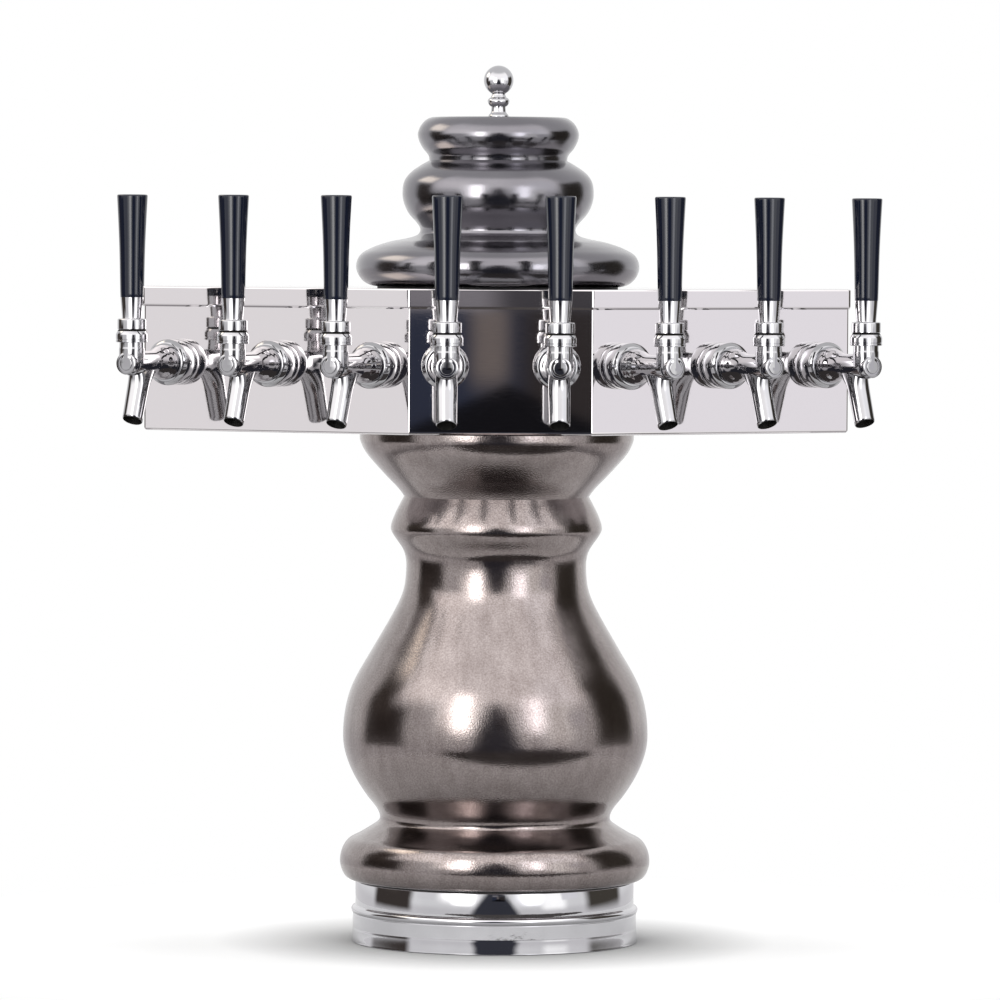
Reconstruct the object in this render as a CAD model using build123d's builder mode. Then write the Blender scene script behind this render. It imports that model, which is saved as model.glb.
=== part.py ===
from build123d import *

import os
from math import atan2, cos, hypot, radians, sin

# A beer tower with eight taps. A chrome base ring carries a turned body, the body and the
# steel column inside it carry a swept-back tap head, and a turned cap with a finial closes
# the top. Millimetres. The origin is the centre of the base on the counter, +Z points up
# and the taps face -Y.

# ---- clearances ----
play = 0.3               # between pieces of one body that pass through or beside each other
running_play = 0.3       # between pieces that move past each other
thread_play = 0.05       # round a thread, a stud or a tube in its seat

# ---- base ----
ring_radius = 126.4      # outside of the lower band
ring_height = 54.0
ring_wall = 4.0
ring_step = 2.2          # the upper band is this much smaller
ring_bead_height = 28.5  # of the bead between the bands, at its middle
ring_bead_radius = 4.0
ring_bead_rise = 1.3     # how far the bead stands out of the lower band
ring_shelf_width = 24.0  # of the inward shelf that carries the body
gasket_thickness = 2.0
gasket_width = 60.0
plate_thickness = 6.0
bolt_circle_radius = 95.0
bolt_hole_radius = 4.25
bolt_count = 4

# ---- tubes inside the column ----
coolant_radius = 4.75
coolant_wall = 1.0
coolant_bend_radius = 11.0   # of the turn at the top of the loop
coolant_rise = 76.0          # from the head's floor to the loop's turn
line_radius = 4.0
line_wall = 1.0
line_bend_radius = 13.0
line_tail_run = 25.0         # straight behind the shank, before the line turns in
line_gap = 4.25              # between the beer lines and the coolant tubes
tube_end_height = 12.0       # of the tubes' lower ends above the counter
tube_plain_length = 26.0     # plain end below the stop bead
tube_bead_length = 2.0
tube_bead_rise = 1.0
spacer_thickness = 6.0       # of the discs that hold the tubes in the column
spacer_inset = 34.0          # of each disc from the column's ends

# ---- column ----
column_gap = 8.0             # between the beer lines and the column's wall
column_wall = 2.0
column_foot_width = 14.0
column_flange_width = 22.0
column_flange_thickness = 4.0
column_screw_radius = 3.0
column_screw_head_radius = 5.0
column_screw_head_height = 4.0
column_screw_count = 4

# ---- body: radii of its outline, from the foot up, and the heights between them ----
seal_thickness = 1.5
body_wall = 5.0
body_floor = 5.0
foot_seat_radius = 128.0
foot_radius = 138.0
shoulder_radius = 122.8
lower_neck_radius = 102.4
swell_radius = 114.4
belly_radius = 135.7
taper_radius = 110.8
waist_radius = 80.1
collar_radius = 94.0
upper_neck_radius = 82.3
flare_radius = 98.3
rim_radius = 122.0
foot_rise = 16.5
shoulder_rise = 22.3
lower_neck_rise = 15.7
swell_rise = 20.0
belly_rise = 53.3
taper_rise = 75.5
waist_rise = 75.5
collar_rise = 33.5
upper_neck_rise = 27.0
flare_rise = 19.5
rim_rise = 34.0
rim_height = 5.5             # straight rim above the flare, and the shell's top thickness
upper_seal_inner_gap = 10.0
upper_seal_width = 24.0
upper_seal_thickness = 2.0

# ---- head ----
sheet = 1.5
head_bend_radius = 2.5
head_height = 128.0
head_front = 110.0           # from the axis to the middle panel
head_back = 110.0
middle_half_width = 80.0
wing_length = 265.0
wing_sweep = 28.0            # degrees, each wing back from the middle panel
lid_depth = 17.8
lid_overhang = 2.0
lid_edge_radius = 3.0
lid_screw_radius = 2.4
lid_screw_head_radius = 4.5
lid_screw_head_height = 2.5
lid_screw_length = 8.0
lid_screw_pitch = 120.0
lid_screw_count = 5
lid_insulation_thickness = 20.0
lid_insulation_gap = 12.0
lid_insulation_hole_radius = 22.0

# ---- cap: radii of its outline, from the lid up, and the heights between them ----
cap_gasket_thickness = 1.2
cap_gasket_width = 14.0
cap_wall = 4.0
cap_seat_radius = 107.0
cap_edge_radius = 118.8
cap_bead_radius = 125.9
cap_shoulder_radius = 112.6
cap_crown_radius = 74.3
cap_neck_radius = 69.0
cap_swell_radius = 76.5
cap_bulge_radius = 85.0
cap_taper_radius = 77.4
cap_groove_radius = 61.0
cap_knob_flank_radius = 67.2
cap_knob_radius = 71.6
cap_top_radius = 58.0
cap_edge_rise = 4.2
cap_bead_rise = 13.6
cap_shoulder_rise = 15.8
cap_crown_rise = 10.7
cap_neck_rise = 5.3
cap_swell_rise = 10.7
cap_bulge_rise = 23.0
cap_taper_rise = 17.9
cap_groove_rise = 11.3
cap_knob_flank_rise = 10.1
cap_knob_rise = 12.5
cap_top_rise = 15.1

# ---- finial and the rod that holds the cap ----
tie_rod_radius = 4.0
tie_rod_drop = 26.0          # of the rod below the lid
tie_nut_height = 7.0
tie_nut_width = 13.0         # across flats
finial_foot_radius = 9.0
finial_neck_radius = 7.0
finial_bead_radius = 9.7
finial_ball_radius = 13.2
finial_foot_height = 6.6
finial_bead_height = 14.6    # of the bead's middle above the cap
finial_bead_half_height = 3.4
finial_ball_height = 32.9    # of the ball's middle above the cap
finial_thread_depth = 21.0

# ---- taps: u is the distance out of the panel, w the height above the shank's axis ----
tap_pitch = 101.0            # along a wing
middle_pitch = 97.5          # between the two taps of the middle panel
tap_rise = 61.0              # of the shank's axis above the head's floor
first_wing_tap = 30.0        # from the panels' corner, along the wing
wing_tap_count = 3
shank_radius = 11.0
shank_tail = 44.0            # behind the panel
shank_collar_radius = 14.3   # and of the faucet's spigot in the same nut
shank_collar_length = 4.0
shank_length = 12.1          # in front of the panel
shank_cavity_radius = 8.3
shank_cavity_back = 7.0      # of the cavity's end behind the panel
flange_radius = 20.5
flange_thickness = 4.0
flange_edge_radius = 1.5
lock_nut_height = 8.0
lock_nut_width = 30.0
coupling_nut_radius = 20.5
coupling_nut_lip = 3.7
coupling_nut_chamfer = 1.0
coupling_nut_bevel_depth = 3.2   # of the cone on its front
coupling_nut_bevel_length = 3.6
spanner_hole_radius = 2.0
spanner_hole_depth = 3.0
spanner_hole_count = 6
washer_thickness = 1.2
line_nut_length = 22.0
line_nut_grip = 10.0         # of its thread on the shank's tail
line_nut_width = 25.5

# ---- faucet ----
spigot_length = 8.0
faucet_flange_radius = 15.5
faucet_flange_length = 3.3
faucet_taper_length = 8.0    # from the flange to the barrel
barrel_radius = 10.8
lever_reach = 68.6           # from the shank's end to the lever's axis
pivot_rise = 20.0            # of the lever's pivot above the barrel's axis
nose_radius = 9.8
nose_shoulder = 3.3          # of the barrel past the lever's axis
nose_reach = 11.3            # of the nose past the lever's axis
nose_ring_radius = 7.5
nose_disc_radius = 6.0
nose_ring_depth = 0.8
bore_radius = 6.0
bore_end_wall = 4.0
neck_radius = 11.0
neck_top = 1.5               # of the neck above the pivot
ball_radius = 9.0
tail_radius = 2.9
tail_play = 0.6              # beside the tail in its slots
slot_top_drop = 6.0          # of the tail's slot below the pivot
lever_swing = 30.0           # degrees, from closed to open
spout_back = 18.7            # of the spout's root behind the lever's axis
spout_run = 18.0             # the mouth is this far in front of the root
spout_drop = 51.5
spout_root_radius = 9.75
spout_mouth_radius = 9.0
spout_bore_radius = 6.0
gusset_setback = 5.0         # of its middle behind the spout's root
gusset_half_length = 25.0
gusset_half_width = 8.5
gusset_top = 3.0
gusset_length = 22.0
bonnet_radius = 14.2
bonnet_skirt = 3.0           # of the bonnet below the neck's top
bonnet_side_top = 5.4        # above the pivot, where the bonnet's dome begins
bonnet_mouth_angle = 48.0    # degrees, of the dome's opening seen from the pivot
bonnet_lip_radius = 8.25
bonnet_lip_height = 4.3
stem_radius = 4.0
lever_collar_radius = 12.8
lever_collar_bottom = 9.9    # above the pivot
lever_collar_top = 19.3
lever_collar_edge_radius = 1.0
ferrule_length = 18.7
ferrule_bottom_radius = 8.75
ferrule_top_radius = 10.25
stem_in_handle = 20.0
handle_length = 90.0
handle_top_radius = 13.5
handle_waist = 0.5           # how far the handle's side bows in
handle_edge_radius = 1.5
plunger_rod_radius = 3.0
plunger_guide_back = 6.7     # of the guide behind the lever's axis
plunger_head_radius = 5.0
plunger_head_length = 3.0
seat_washer_radius = 7.8
seat_washer_thickness = 3.0

# ---- heights above the counter ----
body_bottom = ring_height + seal_thickness
foot_height = body_bottom + foot_rise
shoulder_height = foot_height + shoulder_rise
lower_neck_height = shoulder_height + lower_neck_rise
swell_height = lower_neck_height + swell_rise
belly_height = swell_height + belly_rise
taper_height = belly_height + taper_rise
waist_height = taper_height + waist_rise
collar_height = waist_height + collar_rise
upper_neck_height = collar_height + upper_neck_rise
flare_height = upper_neck_height + flare_rise
rim_bottom = flare_height + rim_rise
body_top = rim_bottom + rim_height
head_floor = body_top + sheet
head_top = body_top + head_height
lid_under = head_top - sheet
tap_height = body_top + tap_rise
cap_bottom = head_top + cap_gasket_thickness
cap_edge_height = cap_bottom + cap_edge_rise
cap_bead_height = cap_edge_height + cap_bead_rise
cap_shoulder_height = cap_bead_height + cap_shoulder_rise
cap_crown_height = cap_shoulder_height + cap_crown_rise
cap_neck_height = cap_crown_height + cap_neck_rise
cap_swell_height = cap_neck_height + cap_swell_rise
cap_bulge_height = cap_swell_height + cap_bulge_rise
cap_taper_height = cap_bulge_height + cap_taper_rise
cap_groove_height = cap_taper_height + cap_groove_rise
cap_knob_flank_height = cap_groove_height + cap_knob_flank_rise
cap_knob_height = cap_knob_flank_height + cap_knob_rise
cap_top = cap_knob_height + cap_top_rise

# ---- radii that follow from the tubes in the column ----
bundle_radius = coolant_bend_radius + coolant_radius + line_gap + line_radius
column_bore = bundle_radius + line_radius + column_gap
column_radius = column_bore + column_wall
column_flange_radius = column_radius + column_flange_width
column_screw_circle = (column_bore + column_flange_radius) / 2
body_bore = column_flange_radius + play
plate_radius = ring_radius - ring_step - ring_wall - play
ring_shelf_radius = ring_radius - ring_step - ring_shelf_width
line_bore = line_radius - line_wall

# ---- places along a tap ----
spigot_back = shank_length + washer_thickness
spigot_front = spigot_back + spigot_length
barrel_back = spigot_front + faucet_flange_length
lever_u = shank_length + lever_reach
nose_end = lever_u + nose_reach
spout_root_u = lever_u - spout_back
spout_length = hypot(spout_run, spout_drop)
up = (0, 1)

# The side view of a tap: u runs out of the panel, w runs up, and the tap's own frame has
# its origin on the panel's face at the shank's axis, with -Y out of the panel.
side = Plane(origin=(0, 0, 0), x_dir=(0, -1, 0), z_dir=(-1, 0, 0))
tap_axis = Axis((0, 0, 0), (0, -1, 0))
lever_axis = Axis((0, -lever_u, 0), (0, 0, 1))
tap_core = Plane(origin=(0, 0, 0), x_dir=(1, 0, 0), z_dir=(0, -1, 0))


def out_of_panel(distance):
    """The plane square to the shank, at a distance out of the panel."""
    return tap_core.offset(distance)


def wing_seats(hand):
    """Where the shanks of one wing sit, as locations; hand is -1 on the left, 1 on the right."""
    for number in range(wing_tap_count):
        along = first_wing_tap + number * tap_pitch
        x = hand * (middle_half_width + along * cos(radians(wing_sweep)))
        y = -head_front + along * sin(radians(wing_sweep))
        yield Location((x, y, tap_height), (0, 0, hand * wing_sweep))


middle_seats = [Location((hand * middle_pitch / 2, -head_front, tap_height)) for hand in (-1, 1)]
tap_seats = list(wing_seats(-1))[::-1] + middle_seats + list(wing_seats(1))


def save(part, name):
    """Label a piece and write it."""
    part.label = name
    export_step(part, f"parts/{name}.step")


def at_every_tap(piece, name):
    """Write one node with a copy of the piece at each tap."""
    with BuildPart() as pieces:
        with Locations(*tap_seats):
            add(piece)
    save(pieces.part, name)


def head_plan(margin, bent=True):
    """The head seen from above, grown by a margin, with bent or sharp corners."""
    reach = middle_half_width + wing_length * cos(radians(wing_sweep))
    setback = -head_front + wing_length * sin(radians(wing_sweep))
    with BuildSketch() as plan:
        with BuildLine():
            Polyline(
                (-middle_half_width, -head_front),
                (middle_half_width, -head_front),
                (reach, setback),
                (reach, head_back),
                (-reach, head_back),
                (-reach, setback),
                close=True,
            )
        make_face()
        if margin:
            offset(amount=margin, kind=Kind.INTERSECTION)
        if bent:
            fillet(plan.vertices(), radius=head_bend_radius + margin)
    return plan.sketch


# ---- base ----

with BuildPart() as base_ring:
    with BuildSketch(Plane.XZ):
        with Locations((ring_radius - ring_wall, 0)):
            Rectangle(ring_wall, ring_bead_height, align=(Align.MIN, Align.MIN))
        with Locations((ring_radius - ring_step - ring_wall, 0)):
            Rectangle(ring_wall, ring_height, align=(Align.MIN, Align.MIN))
        with Locations((ring_shelf_radius, ring_height)):
            Rectangle(ring_shelf_width, ring_wall, align=(Align.MIN, Align.MAX))
        with Locations((ring_radius + ring_bead_rise - ring_bead_radius, ring_bead_height)):
            Circle(ring_bead_radius)
    revolve(axis=Axis.Z)
save(base_ring.part, "base_ring")

with BuildPart() as base_gasket:
    with BuildSketch():
        Circle(plate_radius)
        Circle(plate_radius - gasket_width, mode=Mode.SUBTRACT)
        with PolarLocations(bolt_circle_radius, bolt_count, start_angle=180 / bolt_count):
            Circle(bolt_hole_radius, mode=Mode.SUBTRACT)
    extrude(amount=gasket_thickness)
save(base_gasket.part, "base_gasket")

plate_top = gasket_thickness + plate_thickness

with BuildPart() as mounting_plate:
    with BuildSketch(Plane.XY.offset(gasket_thickness)):
        Circle(plate_radius)
        Circle(column_bore, mode=Mode.SUBTRACT)
        with PolarLocations(bolt_circle_radius, bolt_count, start_angle=180 / bolt_count):
            Circle(bolt_hole_radius, mode=Mode.SUBTRACT)
    extrude(amount=plate_thickness)
save(mounting_plate.part, "mounting_plate")

with BuildPart() as support_column:
    with BuildSketch(Plane.XZ):
        with Locations((column_bore, plate_top)):
            Rectangle(column_wall, body_top - plate_top, align=(Align.MIN, Align.MIN))
            Rectangle(
                column_foot_width,
                column_flange_thickness,
                align=(Align.MIN, Align.MIN),
            )
        with Locations((column_bore, body_top)):
            Rectangle(
                column_flange_radius - column_bore,
                column_flange_thickness,
                align=(Align.MIN, Align.MAX),
            )
    revolve(axis=Axis.Z)
    with BuildSketch(Plane.XY.offset(body_top)):
        with PolarLocations(column_screw_circle, column_screw_count):
            Circle(column_screw_radius + thread_play)
    extrude(amount=-column_flange_thickness, mode=Mode.SUBTRACT)
save(support_column.part, "support_column")


# ---- body ----


def body_side(inset):
    """The body's outline from its foot to its rim, moved in and under by an inset."""
    foot = (foot_radius - inset, foot_height - inset)
    shoulder = (shoulder_radius - inset, shoulder_height - inset)
    lower_neck = (lower_neck_radius - inset, lower_neck_height)
    swell = (swell_radius - inset, swell_height)
    belly = (belly_radius - inset, belly_height)
    taper = (taper_radius - inset, taper_height)
    waist = (waist_radius - inset, waist_height)
    collar = (collar_radius - inset, collar_height)
    upper_neck = (upper_neck_radius - inset, upper_neck_height)
    flare = (flare_radius - inset, flare_height)
    rim = (rim_radius - inset, rim_bottom)
    Spline(foot, shoulder, lower_neck, tangents=[up, up])
    Spline(lower_neck, swell, belly, tangents=[up, up])
    Spline(belly, taper, waist, tangents=[up, up])
    Spline(waist, collar, tangents=[up, (1, 2)])
    Spline(collar, upper_neck, tangents=[(-1, 2), up])
    Spline(upper_neck, flare, rim, tangents=[up, up])


with BuildPart() as body_shell:
    with BuildSketch(Plane.XZ):
        with BuildLine():
            Line((0, body_bottom), (foot_seat_radius, body_bottom))
            Spline(
                (foot_seat_radius, body_bottom),
                (foot_radius, foot_height),
                tangents=[(1, 0), up],
            )
            body_side(0)
            Polyline((rim_radius, rim_bottom), (rim_radius, body_top), (0, body_top))
            Line((0, body_top), (0, body_bottom))
        make_face()
    revolve(axis=Axis.Z)
    with BuildSketch(Plane.XZ):
        with BuildLine():
            Polyline(
                (0, body_bottom + body_floor),
                (foot_radius - body_wall, body_bottom + body_floor),
                (foot_radius - body_wall, foot_height - body_wall),
            )
            body_side(body_wall)
            Polyline(
                (rim_radius - body_wall, rim_bottom),
                (0, rim_bottom),
                (0, body_bottom + body_floor),
            )
        make_face()
    revolve(axis=Axis.Z, mode=Mode.SUBTRACT)
    with BuildSketch(Plane.XY.offset(body_bottom)):
        Circle(body_bore)
    extrude(amount=body_top - body_bottom, mode=Mode.SUBTRACT)
    with BuildSketch(Plane.XY.offset(body_top)):
        Circle(body_bore + upper_seal_inner_gap + upper_seal_width)
        Circle(body_bore + upper_seal_inner_gap, mode=Mode.SUBTRACT)
    extrude(amount=-upper_seal_thickness, mode=Mode.SUBTRACT)
save(body_shell.part, "body_shell")


# ---- seals, insulation and screws ----

with BuildPart() as lower_seal:
    with BuildSketch(Plane.XY.offset(ring_height)):
        Circle(ring_radius - ring_step)
        Circle(ring_shelf_radius, mode=Mode.SUBTRACT)
    extrude(amount=seal_thickness)
save(lower_seal.part, "lower_seal")

with BuildPart() as upper_seal:
    with BuildSketch(Plane.XY.offset(body_top - upper_seal_thickness)):
        Circle(body_bore + upper_seal_inner_gap + upper_seal_width - thread_play)
        Circle(body_bore + upper_seal_inner_gap + thread_play, mode=Mode.SUBTRACT)
    extrude(amount=upper_seal_thickness)
save(upper_seal.part, "upper_seal")

with BuildPart() as body_insulation:
    with BuildSketch(Plane.XY.offset(body_bottom + body_floor)):
        Circle(waist_radius - body_wall - play)
        Circle(column_radius + play, mode=Mode.SUBTRACT)
    extrude(amount=rim_bottom - play - body_bottom - body_floor)
save(body_insulation.part, "body_insulation")

with BuildPart() as column_screws:
    with BuildSketch(Plane.XY.offset(head_floor)):
        with PolarLocations(column_screw_circle, column_screw_count):
            Circle(column_screw_radius)
    extrude(amount=-(sheet + column_flange_thickness))
    with BuildSketch(Plane.XY.offset(head_floor)):
        with PolarLocations(column_screw_circle, column_screw_count):
            Circle(column_screw_head_radius)
    extrude(amount=column_screw_head_height)
save(column_screws.part, "column_screws")


# ---- head ----

lid_screw_height = head_top - lid_depth / 2
lid_back = head_back + lid_overhang
lid_screw_places = Plane(
    origin=(0, lid_back, lid_screw_height), x_dir=(-1, 0, 0), z_dir=(0, 1, 0)
)
tap_faces = [Plane(seat * Location((0, 0, 0), (90, 0, 0))) for seat in tap_seats]

with BuildPart() as head_housing:
    with BuildSketch(Plane.XY.offset(body_top)):
        add(head_plan(0))
    extrude(amount=lid_under - body_top)
    with BuildSketch(Plane.XY.offset(head_floor)):
        add(head_plan(-sheet))
    extrude(amount=lid_under - head_floor, mode=Mode.SUBTRACT)
    with BuildSketch(*tap_faces):
        Circle(shank_radius + thread_play)
    extrude(amount=-2 * sheet, mode=Mode.SUBTRACT)
    with BuildSketch(Plane.XY.offset(body_top)):
        Circle(column_bore)
        with PolarLocations(column_screw_circle, column_screw_count):
            Circle(column_screw_radius + thread_play)
    extrude(amount=sheet, mode=Mode.SUBTRACT)
    with BuildSketch(lid_screw_places):
        with GridLocations(lid_screw_pitch, 0, lid_screw_count, 1):
            Circle(lid_screw_radius + thread_play)
    extrude(amount=-(lid_overhang + 2 * sheet), mode=Mode.SUBTRACT)
save(head_housing.part, "head_housing")

with BuildPart() as head_lid:
    with BuildSketch(Plane.XY.offset(head_top - lid_depth)):
        add(head_plan(lid_overhang))
    extrude(amount=lid_depth)
    fillet(head_lid.faces().sort_by(Axis.Z)[-1].edges(), radius=lid_edge_radius)
    with BuildSketch(Plane.XY.offset(head_top - lid_depth)):
        add(head_plan(lid_overhang - sheet))
    extrude(amount=lid_depth - sheet, mode=Mode.SUBTRACT)
    with BuildSketch(Plane.XY.offset(head_top)):
        Circle(tie_rod_radius + thread_play)
    extrude(amount=-sheet, mode=Mode.SUBTRACT)
    with BuildSketch(lid_screw_places):
        with GridLocations(lid_screw_pitch, 0, lid_screw_count, 1):
            Circle(lid_screw_radius + thread_play)
    extrude(amount=-2 * sheet, mode=Mode.SUBTRACT)
save(head_lid.part, "head_lid")

with BuildPart() as lid_screws:
    with BuildSketch(lid_screw_places):
        with GridLocations(lid_screw_pitch, 0, lid_screw_count, 1):
            Circle(lid_screw_radius)
    extrude(amount=-lid_screw_length)
    with BuildSketch(lid_screw_places):
        with GridLocations(lid_screw_pitch, 0, lid_screw_count, 1):
            Circle(lid_screw_head_radius)
    extrude(amount=lid_screw_head_height)
    fillet(lid_screws.edges().group_by(Axis.Y)[-1], radius=lid_screw_head_height / 2)
save(lid_screws.part, "lid_screws")

with BuildPart() as lid_insulation:
    with BuildSketch(Plane.XY.offset(lid_under)):
        add(head_plan(-(sheet + lid_insulation_gap), bent=False))
        Circle(lid_insulation_hole_radius, mode=Mode.SUBTRACT)
    extrude(amount=-lid_insulation_thickness)
save(lid_insulation.part, "lid_insulation")


# ---- cap ----

cap_bore = tie_rod_radius + thread_play

with BuildPart() as cap_gasket:
    with BuildSketch(Plane.XY.offset(head_top)):
        Circle(cap_seat_radius)
        Circle(cap_seat_radius - cap_gasket_width, mode=Mode.SUBTRACT)
    extrude(amount=cap_gasket_thickness)
save(cap_gasket.part, "cap_gasket")

with BuildPart() as cap_shell:
    with BuildSketch(Plane.XZ):
        with BuildLine():
            seat = (cap_seat_radius, cap_bottom)
            edge = (cap_edge_radius, cap_edge_height)
            bead = (cap_bead_radius, cap_bead_height)
            shoulder = (cap_shoulder_radius, cap_shoulder_height)
            crown = (cap_crown_radius, cap_crown_height)
            neck = (cap_neck_radius, cap_neck_height)
            swell = (cap_swell_radius, cap_swell_height)
            bulge = (cap_bulge_radius, cap_bulge_height)
            taper = (cap_taper_radius, cap_taper_height)
            groove = (cap_groove_radius, cap_groove_height)
            flank = (cap_knob_flank_radius, cap_knob_flank_height)
            knob = (cap_knob_radius, cap_knob_height)
            Spline(seat, edge, bead, tangents=[(1, 0), up])
            Spline(bead, shoulder, crown, neck, tangents=[up, up])
            Spline(neck, swell, bulge, tangents=[up, up])
            Spline(bulge, taper, groove, tangents=[up, (-1, 1)])
            Spline(groove, flank, knob, tangents=[(1, 4), up])
            Spline(knob, (cap_top_radius, cap_top), tangents=[up, (-1, 0)])
            Polyline((cap_top_radius, cap_top), (0, cap_top), (0, cap_bottom), seat)
        make_face()
    revolve(axis=Axis.Z)
    with BuildSketch(Plane.XZ):
        with BuildLine():
            Polyline(
                (0, cap_bottom),
                (cap_seat_radius - cap_wall, cap_bottom),
                (cap_bead_radius - 2 * cap_wall, cap_bead_height),
                (cap_shoulder_radius - cap_wall, cap_shoulder_height - cap_wall),
                (cap_neck_radius - cap_wall, cap_crown_height - cap_wall),
                (cap_neck_radius - cap_wall, cap_neck_height),
                (cap_bulge_radius - 2 * cap_wall, cap_bulge_height),
                (cap_groove_radius - cap_wall, cap_groove_height - cap_wall),
                (cap_groove_radius - cap_wall, cap_top - cap_wall),
                (0, cap_top - cap_wall),
                close=True,
            )
        make_face()
    revolve(axis=Axis.Z, mode=Mode.SUBTRACT)
    with BuildSketch(Plane.XY.offset(cap_top)):
        Circle(cap_bore)
    extrude(amount=-cap_wall, mode=Mode.SUBTRACT)
save(cap_shell.part, "cap_shell")

with BuildPart() as cap_tie_rod:
    with BuildSketch(Plane.XY.offset(lid_under - tie_rod_drop)):
        Circle(tie_rod_radius)
    extrude(amount=cap_top + finial_thread_depth - thread_play - lid_under + tie_rod_drop)
save(cap_tie_rod.part, "cap_tie_rod")

with BuildPart() as tie_rod_nuts:
    with BuildSketch(Plane.XY.offset(lid_under - tie_nut_height), Plane.XY.offset(head_top)):
        RegularPolygon(tie_nut_width / 2, 6, major_radius=False)
        Circle(tie_rod_radius + thread_play, mode=Mode.SUBTRACT)
    extrude(amount=tie_nut_height)
save(tie_rod_nuts.part, "tie_rod_nuts")

with BuildPart() as finial:
    with BuildSketch(Plane.XZ):
        with BuildLine():
            foot_top = (finial_neck_radius, cap_top + finial_foot_height)
            bead_middle = cap_top + finial_bead_height
            ball_middle = cap_top + finial_ball_height
            Line((0, cap_top), (finial_foot_radius, cap_top))
            Spline((finial_foot_radius, cap_top), foot_top, tangents=[up, up])
            Polyline(
                foot_top,
                (finial_neck_radius, ball_middle),
                (0, ball_middle),
                (0, cap_top),
            )
        make_face()
        with Locations((0, bead_middle)):
            Ellipse(finial_bead_radius, finial_bead_half_height)
        with Locations((0, ball_middle)):
            Circle(finial_ball_radius)
        split(bisect_by=Plane.YZ)
    revolve(axis=Axis.Z)
    with BuildSketch(Plane.XY.offset(cap_top)):
        Circle(tie_rod_radius + thread_play)
    extrude(amount=finial_thread_depth, mode=Mode.SUBTRACT)
save(finial.part, "finial")


# ---- shanks and what holds them ----

collar_back = shank_length - shank_collar_length

with BuildPart() as shank:
    with BuildSketch(side):
        with BuildLine():
            Polyline(
                (-shank_tail, line_bore),
                (-shank_tail, shank_radius),
                (collar_back, shank_radius),
                (collar_back, shank_collar_radius),
                (shank_length, shank_collar_radius),
                (shank_length, shank_cavity_radius),
                (-shank_cavity_back, shank_cavity_radius),
                (-shank_cavity_back, line_bore),
                close=True,
            )
        make_face()
    revolve(axis=tap_axis)
at_every_tap(shank.part, "shanks")

with BuildPart() as shank_flange:
    with BuildSketch(out_of_panel(0)):
        Circle(flange_radius)
        Circle(shank_radius + thread_play, mode=Mode.SUBTRACT)
    extrude(amount=flange_thickness)
    face_edges = shank_flange.edges().group_by(Axis.Y)[0]
    fillet(face_edges.sort_by(SortBy.RADIUS)[-1], radius=flange_edge_radius)
at_every_tap(shank_flange.part, "shank_flanges")

with BuildPart() as lock_nut:
    with BuildSketch(out_of_panel(-sheet)):
        RegularPolygon(lock_nut_width / 2, 6, major_radius=False)
        Circle(shank_radius + thread_play, mode=Mode.SUBTRACT)
    extrude(amount=-lock_nut_height)
at_every_tap(lock_nut.part, "shank_lock_nuts")

with BuildPart() as line_nut:
    with BuildSketch(out_of_panel(line_nut_grip - shank_tail)):
        RegularPolygon(line_nut_width / 2, 6, major_radius=False)
    extrude(amount=-line_nut_length)
    with BuildSketch(out_of_panel(line_nut_grip - shank_tail)):
        Circle(shank_radius + thread_play)
    extrude(amount=-(line_nut_grip + thread_play), mode=Mode.SUBTRACT)
    with BuildSketch(out_of_panel(-shank_tail)):
        Circle(line_radius + thread_play)
    extrude(amount=-line_nut_length, mode=Mode.SUBTRACT)
at_every_tap(line_nut.part, "line_nuts")

nut_bore = shank_collar_radius + thread_play
nut_lip_front = collar_back - thread_play
nut_back = nut_lip_front - coupling_nut_lip
nut_front = spigot_front - thread_play

with BuildPart() as coupling_nut:
    with BuildSketch(side):
        with BuildLine():
            Polyline(
                (nut_back, shank_radius + play),
                (nut_back, coupling_nut_radius - coupling_nut_chamfer),
                (nut_back + coupling_nut_chamfer, coupling_nut_radius),
                (nut_front - coupling_nut_bevel_length, coupling_nut_radius),
                (nut_front, coupling_nut_radius - coupling_nut_bevel_depth),
                (nut_front, nut_bore),
                (nut_lip_front, nut_bore),
                (nut_lip_front, shank_radius + play),
                close=True,
            )
        make_face()
    revolve(axis=tap_axis)
    with Locations(out_of_panel((nut_back + nut_front) / 2)):
        with PolarLocations(coupling_nut_radius, spanner_hole_count):
            Cylinder(
                spanner_hole_radius,
                2 * spanner_hole_depth,
                rotation=(0, 90, 0),
                mode=Mode.SUBTRACT,
            )
at_every_tap(coupling_nut.part, "coupling_nuts")

with BuildPart() as coupling_washer:
    with BuildSketch(out_of_panel(shank_length)):
        Circle(shank_collar_radius - play)
        Circle(shank_cavity_radius, mode=Mode.SUBTRACT)
    extrude(amount=washer_thickness)
at_every_tap(coupling_washer.part, "coupling_washers")


# ---- faucet body and bonnet ----


def spout_plane(distance):
    """The plane square to the spout, at a distance down its axis from the barrel's axis."""
    share = distance / spout_length
    place = (0, -(spout_root_u + spout_run * share), -spout_drop * share)
    return Plane(origin=place, x_dir=(1, 0, 0), z_dir=(0, -spout_run, -spout_drop))


def tail_reach(height):
    """How far the open lever's tail reaches behind the lever's axis, at a height."""
    swing = radians(lever_swing)
    lean = (pivot_rise - height) * sin(swing) / cos(swing)
    return lean + (tail_radius + tail_play) / cos(swing)


def tail_front(height):
    """How far the open lever's tail reaches in front of the plunger's slot, at a height."""
    swing = radians(lever_swing)
    lean = (pivot_rise - height) * sin(swing) / cos(swing)
    return pivot_rise * sin(swing) - lean + (tail_radius + tail_play) / cos(swing)


def on_dome(angle):
    """The point of the bonnet's dome at an angle from the upright, seen from the pivot."""
    return (lever_u + dome_radius * sin(angle), pivot_rise + dome_radius * cos(angle))


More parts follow.
